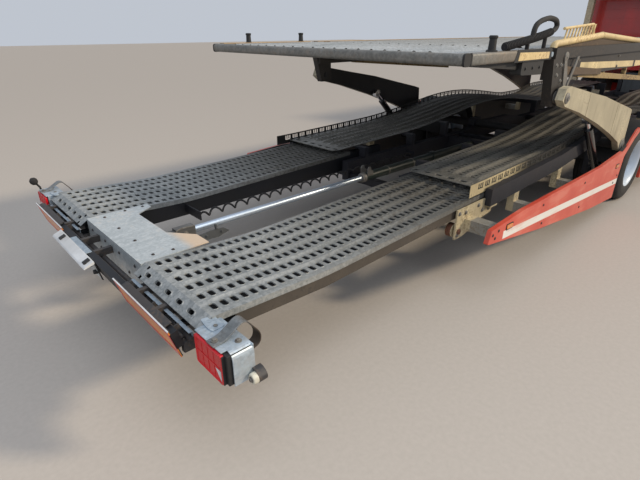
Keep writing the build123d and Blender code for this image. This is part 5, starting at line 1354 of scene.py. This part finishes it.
# %% Lift arms
for span, body in ((0.0, "rear_arms"), (3.3, "front_arms")):
    caps = Stock()
    caps.turned([(0, 0.036), (0.005, 0.036), (0.008, 0.031), (0.011, 0.018), (0.016, 0.016)],
                (2.560 + span, 1.2145, 0.600), around=28)
    caps.turned([(0, 0.062), (0.006, 0.062), (0.010, 0.056), (0.012, 0.034), (0.020, 0.030)],
                (4.250 + span, 1.2145, 0.020), around=32)
    for t in np.radians(np.arange(0, 360, 60)):
        caps.bolt((4.250 + span + 0.047 * cos(t), 1.2205, 0.020 + 0.047 * sin(t)), (0, 1, 0), 0.007)
    caps.flipped().piece("lift_arm_caps_" + body, bolt_steel, body, "galvanised", smooth=True)
    folds = Stock()
    for x, low, high in ((3.020, 0.430, 0.590), (3.790, 0.196, 0.440)):
        folds.prism([(x - 0.006 + span, low), (x + 0.006 + span, low), (x + 0.012 + span, high),
                     (x + span, high)], (1.2135, 1.2175))
    folds.prism(rounded([(2.930 + span, 0.548), (3.010 + span, 0.534), (3.010 + span, 0.520),
                         (2.930 + span, 0.534)], 0.006, 3, True),
                (1.2140, 1.2165))
    folds.flipped().piece("lift_arm_folds_" + body, arm_paint_shaded_inside, body, "galvanised", 0.001)

# %% [markdown]
# ## Wheels
# Tyres and rims are turned profiles. Sipes cut across the tread, and dark wells of painted shade stand for
# the hand holes.
# A tyre's profile is closed, so it needs no caps and the rim shows in its middle.

# %% Tyres
TYRE_HALF = 0.106
TYRE_SPOKES = 180
FRONT_AXLE, REAR_AXLE, AXLE_Z = 10.040, 4.690, -0.236
tyre_half = [(-0.084, 0.2225), (-0.092, 0.232), (-0.101, 0.246), (-0.1045, 0.262), (-0.1052, 0.264),
             (-0.1060, 0.290),
             (-0.1050, 0.318), (-0.1040, 0.320), (-0.1010, 0.334), (-0.0950, 0.352), (-0.0870, 0.368),
             (-0.0780, 0.3765),
             (-0.0760, 0.378), (-0.0480, 0.3825), (-0.0460, 0.374), (-0.0400, 0.374), (-0.0380, 0.3835),
             (-0.0170, 0.384),
             (-0.0150, 0.375), (-0.0090, 0.375), (-0.0070, 0.384)]
tyre_profile = tyre_half + [(-a, r) for a, r in reversed(tyre_half)]


def tyre_shape(stock, x, y):
    """Closed tyre with round grooves. Every third spoke is sunk, by 4.5 mm on the shoulders."""
    profile = np.array(tyre_profile)
    turn = np.linspace(0, 2 * pi, TYRE_SPOKES, endpoint=False)
    shoulder = (np.abs(profile[:, 0]) > 0.060) & (profile[:, 1] > 0.355)
    centre_rib = (np.abs(profile[:, 0]) < 0.0071) & (profile[:, 1] > 0.380)
    rings = []
    for along, r, sunk, rib in zip(profile[:, 0], profile[:, 1], shoulder, centre_rib):
        radius = np.full(TYRE_SPOKES, r)
        radius -= np.where(np.arange(TYRE_SPOKES) % 3 == 0, 0.0045 * sunk + 0.0025 * rib, 0.0)
        across = np.full(TYRE_SPOKES, y + along)
        rings.append(np.column_stack([x + radius * np.cos(turn), across, AXLE_Z + radius * np.sin(turn)]))
    return stock.rings(rings, True)


def rim_shape(stock, x, y, disc, out):
    """Rim: a barrel and a dished disc that stands disc metres out. out is +1 or -1."""
    half = TYRE_HALF - 0.022
    barrel = [(-half - 0.012, 0.2375), (-half - 0.002, 0.2365), (-half + 0.004, 0.222), (-0.040, 0.196),
              (0.030, 0.196),
              (half - 0.004, 0.222), (half + 0.002, 0.2365), (half + 0.012, 0.2375), (half + 0.010, 0.232),
              (half - 0.004, 0.212),
              (0.030, 0.190), (-0.040, 0.190), (-half + 0.004, 0.212), (-half - 0.010, 0.232)]
    stock.turned([(out * a, r) for a, r in barrel], (x, y, AXLE_Z), around=48, closed=True)
    face = [(disc - 0.012, 0.1925), (disc + 0.004, 0.186), (disc + 0.014, 0.160), (disc + 0.034, 0.128),
            (disc + 0.058, 0.106),
            (disc + 0.060, 0.052), (disc + 0.054, 0.046), (disc + 0.048, 0.106), (disc + 0.022, 0.130),
            (disc + 0.002, 0.160),
            (disc - 0.014, 0.186)]
    stock.turned([(out * a, r) for a, r in face], (x, y, AXLE_Z), around=48, closed=True)
    return stock


def nuts(stock, x, y, disc, out):
    """Ten nuts on a circle, and the hub's cap."""
    for t in 2 * pi * np.arange(10) / 10:
        at = (x + 0.0825 * cos(t), y + out * (disc + 0.058), AXLE_Z + 0.0825 * sin(t))
        stock.turned([(0, 0.015), (0.004, 0.015), (0.005, 0.012), (0.022, 0.012), (0.026, 0.008)], at,
                     (0, out, 0), 6)
    cap = [(0.0, 0.046), (0.030, 0.046), (0.040, 0.040), (0.044, 0.030)]
    return stock.turned(cap, (x, y + out * (disc + 0.030), AXLE_Z), (0, out, 0), 24)


def wells(stock, x, y, disc, out):
    """Hand holes, drawn as shallow dark ovals of painted shade on the sloping part of the disc."""
    for t in 2 * pi * (np.arange(8) + 0.5) / 8:
        turn = np.linspace(0, 2 * pi, 14, endpoint=False)
        across, along = 0.019 * np.cos(turn), 0.013 * np.sin(turn)
        rings = []
        for lift, share in ((-0.004, 1.0), (0.0012, 1.0), (0.0002, 0.86), (-0.010, 0.80)):
            r = 0.147 + along * share
            depth = disc + 0.014 + (0.160 - r) * 0.62 + lift
            angle = t + across * share / r
            rings.append(np.column_stack([x + r * np.cos(angle), y + out * depth,
                                          AXLE_Z + r * np.sin(angle)]))
        stock.rings(rings)
    return stock


outer_y, twin = 1.275 - TYRE_HALF, 0.244
FRONT_DISC, REAR_DISC = 0.020, -0.070
for side, word in ((1, "left"), (-1, "right")):
    front, outer, inner = side * 0.995, side * outer_y, side * (outer_y - twin)
    wheel, twins = "front_wheel_" + word, "rear_wheels_" + word
    tyre = tyre_shape(Stock(), FRONT_AXLE, front)
    tyre.piece("front_tyre_shape_" + word, rubber, wheel, "tyre", smooth=True, nodes=["front_tyre_" + word])
    tyres = tyre_shape(tyre_shape(Stock(), REAR_AXLE, outer), REAR_AXLE, inner)
    tyres.piece("rear_tyre_shapes_" + word, rubber, twins, "tyre", smooth=True, nodes=["rear_tyres_" + word])
    rim = rim_shape(Stock(), FRONT_AXLE, front, FRONT_DISC, side)
    rim.piece("front_rim_shape_" + word, rim_silver, wheel, "rim_silver", smooth=True,
              nodes=["front_rim_" + word])
    pair = rim_shape(rim_shape(Stock(), REAR_AXLE, outer, REAR_DISC, side), REAR_AXLE, inner, REAR_DISC,
                     -side)
    pair.piece("rear_rim_shapes_" + word, rim_silver, twins, "rim_silver", smooth=True,
               nodes=["rear_rims_" + word])
    ends = (("front_", FRONT_AXLE, front, FRONT_DISC, wheel), ("rear_", REAR_AXLE, outer, REAR_DISC, twins))
    for start, axle, y, disc, body in ends:
        made = nuts(Stock(), axle, y, disc, side)
        made.piece(start + "nuts_" + word, chrome_steel, body, "chrome_rod", smooth=True)
    for start, axle, y, disc, body in ends:
        wells(Stock(), axle, y, disc, side).piece(start + "hand_holes_" + word, shade_and_seam_black, body, "trim")

# %% [markdown]
# ## The cab
# The CAD shell, doors and bumper keep their shape. Glass, seals, handles, lamps and seats are added to them.
# A seal is a closed tube round its window, which hides the edge between glass and steel.

# %% Windows and seals
window = [(10.218, 0.940), (10.218, 1.580), (10.828, 1.580), (11.063, 0.940)]
for side, body in ((1, "door_left"), (-1, "door_right")):
    shifts = ((-0.006, -0.006), (-0.006, 0.006), (0.004, 0.006), (0.006, -0.006))
    pane = [(x + dx, z + dz) for (x, z), (dx, dz) in zip(window, shifts)]
    Stock().prism(pane, (side * 1.126, side * 1.131)).piece(body + "_glass", glass, body, "glass", 0.001)
    edge = [(x, side * 1.1480, z) for x, z in rounded(window, 0.060, 5, True)]
    seal = Stock().tube(edge, 0.011, 10, up=(0, 1, 0), closed=True)
    seal.piece(body + "_seal", rubber, body, "trim", smooth=True)
    trims = Stock()
    grip = rounded([(10.180, side * 1.150, 0.800), (10.185, side * 1.182, 0.800),
                    (10.330, side * 1.182, 0.800), (10.335, side * 1.150, 0.800)],
                   0.020, 4)
    trims.tube(grip, 0.0105, 12, up=(0, 0, 1))
    trims.prism(oblong((10.168, 10.348), (0.770, 0.830), 0.015, 4), (side * 1.149, side * 1.154))
    trims.prism(oblong((10.160, 11.100), (0.400, 0.440), 0.012, 3), (side * 1.149, side * 1.157))
    trims.prism(oblong((10.902, 10.974), (1.012, 1.378), 0.020, 4), (side * 1.188, side * 1.2705))
    trims.tube([(10.950, side * 1.130, 1.320), (10.942, side * 1.200, 1.320)], 0.016, 12)
    trims.tube([(10.950, side * 1.130, 1.080), (10.942, side * 1.200, 1.080)], 0.014, 12)
    trims.piece(body + "_trims", black_plastic, body, "black_plastic", 0.003)
    face = Stock().prism([(side * 1.198, 1.035), (side * 1.262, 1.035), (side * 1.262, 1.355),
                          (side * 1.198, 1.355)], (10.8995, 10.9020), axis=0)
    face.piece(body + "_mirror", mirror_glass, body, "glass", 0.001)
down, out = np.array([-0.2755, 0.9613]), np.array([0.9613, 0.2755])
low = np.array([11.263, 0.810]) + down * 0.040
high = np.array([11.263, 0.810]) + down * 0.813
corners = [(*low, -1.040), (*high, -1.040), (*high, 1.040), (*low, 1.040)]
edge = [(x - 0.004, y, z) for x, z, y in rounded(corners, 0.070, 5, True)]
screen_trims = Stock().tube(edge, 0.013, 10, up=(1, 0, 0), closed=True)
for y, reach in ((0.10, 0.62), (-0.55, 0.50)):
    foot = low + down * 0.02 + out * 0.020
    tip = low + down * 0.30 + out * 0.012
    screen_trims.tube([(foot[0], y, foot[1]), (tip[0], y + reach * 0.55, tip[1])], 0.008, 8, up=(1, 0, 0))
    screen_trims.tube([(tip[0] - 0.008, y + reach * 0.55 - 0.29, tip[1] + 0.002),
                       (tip[0] - 0.008, y + reach * 0.55 + 0.29, tip[1] - 0.002)],
                      0.006, 8, up=(1, 0, 0))
screen_trims.box((11.000, 11.075), (-1.000, 1.000), (1.655, 1.690))
screen_trims.piece("windscreen_trims", black_plastic, "chassis", "trim", smooth=True)

# %% [markdown]
# A slatted grille, round headlamps, indicators and a dark bumper insert make the cab's face.
# They stand a little proud of the panel, so that each throws a thin shadow.

# %% Front
slats = Stock()
for k in range(5):
    z = 0.210 + 0.078 * k
    for step in (0.010, 0.022, 0.034):
        slats.prism([(11.2935, z + step - 0.004), (11.3065, z + step - 0.001), (11.3065, z + step + 0.002),
                     (11.2935, z + step - 0.001)],
                    (-0.7195, 0.7195))
slats.piece("front_grille_slats", engine_grey, "chassis", "black_plastic")
rings, bulbs = Stock(), Stock()
for y in (0.715, 0.858):
    rings.turned([(0.000, 0.064), (0.005, 0.062), (0.005, 0.056), (0.000, 0.053)], (11.3315, y, 0.010),
                 (1, 0, 0), 36, closed=True)
    bulbs.turned([(0.000, 0.054), (0.0025, 0.044), (0.0042, 0.022), (0.0046, 0.002)], (11.3316, y, 0.010),
                 (1, 0, 0), 32)
rings.flipped().piece("headlamp_rings", chrome_steel, "chassis", "chrome_rod", smooth=True)
bulbs.flipped().piece("headlamp_lenses", lens_clear, "chassis", "lamp_clear", smooth=True)
blinkers = Stock().prism(oblong((0.945, 1.020), (-0.050, 0.070), 0.012, 3), (11.330, 11.3375), axis=0)
blinkers.flipped().piece("front_indicator_lenses", lens_amber, "chassis", "lamp_red", 0.0015)
trims = Stock().prism(oblong((-0.55, 0.55), (-0.250, -0.120), 0.020, 4), (11.3345, 11.3378), axis=0)
for y in np.linspace(-0.50, 0.50, 11):
    trims.prism(oblong((y - 0.035, y + 0.035), (-0.090, -0.070), 0.009, 3),
                (11.3345, 11.3378), axis=0)
trims.piece("front_bumper_trims", black_plastic, "chassis", "black_plastic", 0.0015)

# %% [markdown]
# Treads and grab rails serve the driver, and pressed panels stiffen the rear wall and sides.
# A pressed panel is a rounded rectangle, set just proud of the shell.

# %% Steps, rails and roof
treads = Stock()
for k in range(9):
    x = 10.680 + 0.042 * k
    treads.box((x, x + 0.014), (0.955, 1.145), (-0.2005, -0.1930))
treads.box((10.655, 11.060), (0.930, 1.149), (0.1395, 0.1440))
treads.flipped().piece("cab_step_treads", engine_grey, "chassis", "black_plastic", 0.002)
grabs = Stock().tube(rounded([(10.060, 1.150, 0.480), (10.060, 1.205, 0.480), (10.060, 1.205, 1.450),
                              (10.060, 1.150, 1.450)], 0.035, 5), 0.014, 12,
                     up=(1, 0, 0))
grabs.flipped().piece("cab_grab_rails", black_plastic, "chassis", "trim", smooth=True)
panels = Stock()
for z in (0.55, 0.95, 1.35):
    panels.prism(oblong((-0.90, 0.90), (z, z + 0.24), 0.040, 4), (9.5775, 9.5735), axis=0)
panels.prism(oblong((9.70, 10.02), (0.50, 0.86), 0.040, 4), (1.1490, 1.1530))
panels.prism(oblong((9.70, 10.02), (0.50, 0.86), 0.040, 4), (-1.1490, -1.1530))
panels.piece("cab_shell_panels", cab_red, "chassis", "cab_red", 0.004)

# %% [markdown]
# A cushion starts as a rounded block, 20 mm smaller than its place all round.
# Cloth under pressure then swells it, by SWELL at most, and its seams sink after that.
# A block with round edges alone would look like wood.

# %% Seats
SWELL = 0.026
QUILT = 0.008
SEAM = 0.012
CLOTH_STEPS = 20


def applied(made):
    """The mesh that the modifiers make of an object, with the modifiers taken off."""
    ready = made.evaluated_get(bpy.context.evaluated_depsgraph_get())
    mesh = bpy.data.meshes.new_from_object(ready)
    made.modifiers.clear()
    return mesh


def pad(name, low, high, seams):
    """Block from low to high, remeshed, inflated and quilted: a seam sinks by QUILT * exp(-(d / SEAM)^2)."""
    low, high = np.array(low) + 0.020, np.array(high) - 0.020
    made = Stock().box(*zip(low, high)).piece(name, cloth, "chassis", "trim", nodes=["cab_interior"])
    bpy.context.view_layer.objects.active = made
    start = made.modifiers.new("round", "BEVEL")
    start.width, start.segments = 0.035, 3
    mesher = made.modifiers.new("mesher", "REMESH")
    mesher.mode, mesher.voxel_size = "VOXEL", 0.006
    made.data = applied(made)
    rest = np.array([tuple(v.co) for v in made.data.vertices])
    puff = made.modifiers.new("puff", "CLOTH")
    puff.settings.use_pressure = True
    puff.settings.uniform_pressure_force = 4.0
    puff.settings.effector_weights.gravity = 0.0
    for step in range(1, CLOTH_STEPS + 1):
        bpy.context.scene.frame_set(step)
    made.data = applied(made)
    bpy.context.scene.frame_set(1)
    moved = np.array([tuple(v.co) for v in made.data.vertices]) - rest
    far = np.linalg.norm(moved, axis=1)[:, None]
    moved = moved * np.minimum(1.0, SWELL / np.maximum(far, 1e-6))
    points = rest + moved
    middle = (np.array(low) + np.array(high)) / 2 + DATUM
    for axis, at in seams:
        d = np.abs(points[:, axis] - DATUM[axis] - at)
        sink = QUILT * np.exp(-(d / SEAM) ** 2)[:, None]
        toward = middle - points
        toward[:, axis] = 0
        points = points + sink * toward / np.maximum(np.linalg.norm(toward, axis=1)[:, None], 1e-6)
    made.data.vertices.foreach_set("co", points.ravel())
    made.data.polygons.foreach_set("use_smooth", [True] * len(made.data.polygons))
    finer = made.modifiers.new("finer", "SUBSURF")
    finer.levels = finer.render_levels = 1
    made.data = applied(made)
    return made


for side, word in ((1, "left"), (-1, "right")):
    y = sorted((side * 0.335, side * 0.825))
    quarter = (y[1] - y[0]) / 4
    pad("seat_cushion_" + word, (9.840, y[0], 0.600), (10.296, y[1], 0.758),
        [(1, y[0] + quarter), (1, y[1] - quarter), (0, 10.02), (0, 10.16)])
    pad("seat_back_" + word, (9.780, y[0] + 0.01, 0.760), (9.906, y[1] - 0.01, 1.200),
        [(1, y[0] + quarter), (1, y[1] - quarter), (2, 0.90), (2, 1.05)])
    pad("seat_head_" + word, (9.785, y[0] + 0.11, 1.225), (9.900, y[1] - 0.11, 1.388), [(1, y[0] + 0.245)])

# %% [markdown]
# The seats stand on boxed frames. The dashboard is one rounded section carried across the cab.
# The steering wheel is a closed tube on three spokes, tilted towards the driver.

# %% Seat frames, dashboard and steering wheel
frames = Stock()
for side in (1, -1):
    y = sorted((side * 0.345, side * 0.815))
    frames.prism(rounded([(9.835, 0.3805), (10.290, 0.3805), (10.270, 0.440), (10.230, 0.470),
                          (10.240, 0.610), (9.840, 0.610)], 0.020, 3, True), y)
    frames.prism(oblong((9.779, 9.800), (0.560, 1.190), 0.008, 3), y)
    for post in (0.18, 0.30):
        frames.tube([(9.838, y[0] + post, 1.150), (9.842, y[0] + post, 1.260)], 0.007, 8, up=(0, 1, 0))
frames.piece("seat_frames", black_plastic, "chassis", "trim", 0.004, nodes=["cab_interior"])
dash_side = rounded([(10.940, 0.545), (11.230, 0.545), (11.230, 0.678), (11.120, 0.680), (11.040, 0.655),
                     (10.960, 0.640)], 0.040, 5, True)
dash = Stock().prism(dash_side, (-1.088, 1.088))
hood = rounded([(0.36, 0.640), (0.80, 0.640), (0.78, 0.740), (0.68, 0.768), (0.48, 0.768), (0.38, 0.740)],
               0.030, 4, True)
dash.prism(hood, (11.000, 11.140), axis=0)
for y in (-0.9, -0.3, 0.2, 0.95):
    dash.prism(oblong((y - 0.06, y + 0.06), (0.575, 0.620), 0.010, 3), (10.930, 10.945), axis=0)
dash.piece("dashboard", black_plastic, "chassis", "trim", 0.004, nodes=["cab_interior"])
hub = np.array([10.868, 0.580, 0.780])
lean, up = np.array([0.5, 0, 0.866]), np.array([-0.866, 0, 0.5])
turn = np.linspace(0, 2 * pi, 48, endpoint=False)
hoop = hub + 0.208 * (np.cos(turn)[:, None] * (0, 1, 0) + np.sin(turn)[:, None] * np.cross(lean, (0, 1, 0)))
steering = Stock().tube(hoop, 0.0145, 12, up=tuple(lean), closed=True)
for t in (0.0, pi, 1.5 * pi):
    rim = hub + 0.203 * (cos(t) * np.array([0, 1, 0]) + sin(t) * np.cross(lean, (0, 1, 0)))
    steering.tube([hub - 0.02 * lean, rim], 0.011, 10, up=tuple(lean))
steering.turned([(-0.030, 0.030), (-0.010, 0.062), (0.006, 0.062), (0.014, 0.045)], hub, -lean, 28)
steering.tube([hub, (10.955, 0.580, 0.630)], 0.026, 14, up=(0, 1, 0))
steering.piece("steering_wheel", black_plastic, "chassis", "trim", smooth=True, nodes=["cab_interior"])

# %% [markdown]
# ## Finishes for the CAD parts that stay
# Their shapes are right as they are, so they get a finish and softened edges.

# %% Every CAD node gets a finish
FINISHES = {
    "extension_frame": slide_steel_shaded, "centre_plate": cover_zinc_painted_sun, "slide_ram_rod": ram_metal,
    "slide_ram_barrel": cylinder_green, "chassis_frame": well_steel_shaded, "deck_bearers": well_steel_shaded,
    "rear_mudguards": black_plastic, "rear_axle": dark_steel, "front_axle": dark_steel,
    "knuckle_left": dark_steel, "knuckle_right": dark_steel, "outriggers": hanger_zinc,
    "engine_block": engine_grey, "side_tanks": engine_grey,
    "cab_shell": cab_red, "door_left": cab_red, "door_right": cab_red, "windscreen": glass,
    "front_panel": black_plastic, "front_bumper": cab_red, "headlamps": black_plastic,
    "cab_steps": black_plastic,
    "front_posts": arm_zinc, "upper_frame": upper_paint_shaded, "cab_deck_frame": ochre,
    "lift_arms_rear": arm_paint_shaded_inside, "lift_arms_front": arm_paint_shaded_inside,
    "lift_barrels": cylinder_black, "lift_rods": chrome_steel,
}
EDGES = {"centre_plate": 0.0015, "windscreen": 0.0015, "headlamps": 0.006, "slide_ram_rod": 0.002,
         "cab_shell": 0.022,
         "front_bumper": 0.012, "front_panel": 0.006, "door_left": 0.006, "door_right": 0.006,
         "side_tanks": 0.004}
for name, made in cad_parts.items():
    finish = FINISHES.get(name, dark_steel)
    for place in made.material_slots:
        place.material = finish.material
    if name in FINISHES:
        rounding = made.modifiers.new("edges", "BEVEL")
        rounding.width, rounding.segments, rounding.limit_method = EDGES.get(name, 0.004), 2, "ANGLE"
        rounding.angle_limit = radians(40)
print(len(FINISHES), "CAD nodes keep their shape")

# %% [markdown]
# One box goes round everything shown except the floor, to show how far the pieces reach.

# %% The box round the pieces
low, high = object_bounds()
print("final box", [round(v, 3) for v in (*low, *high)])
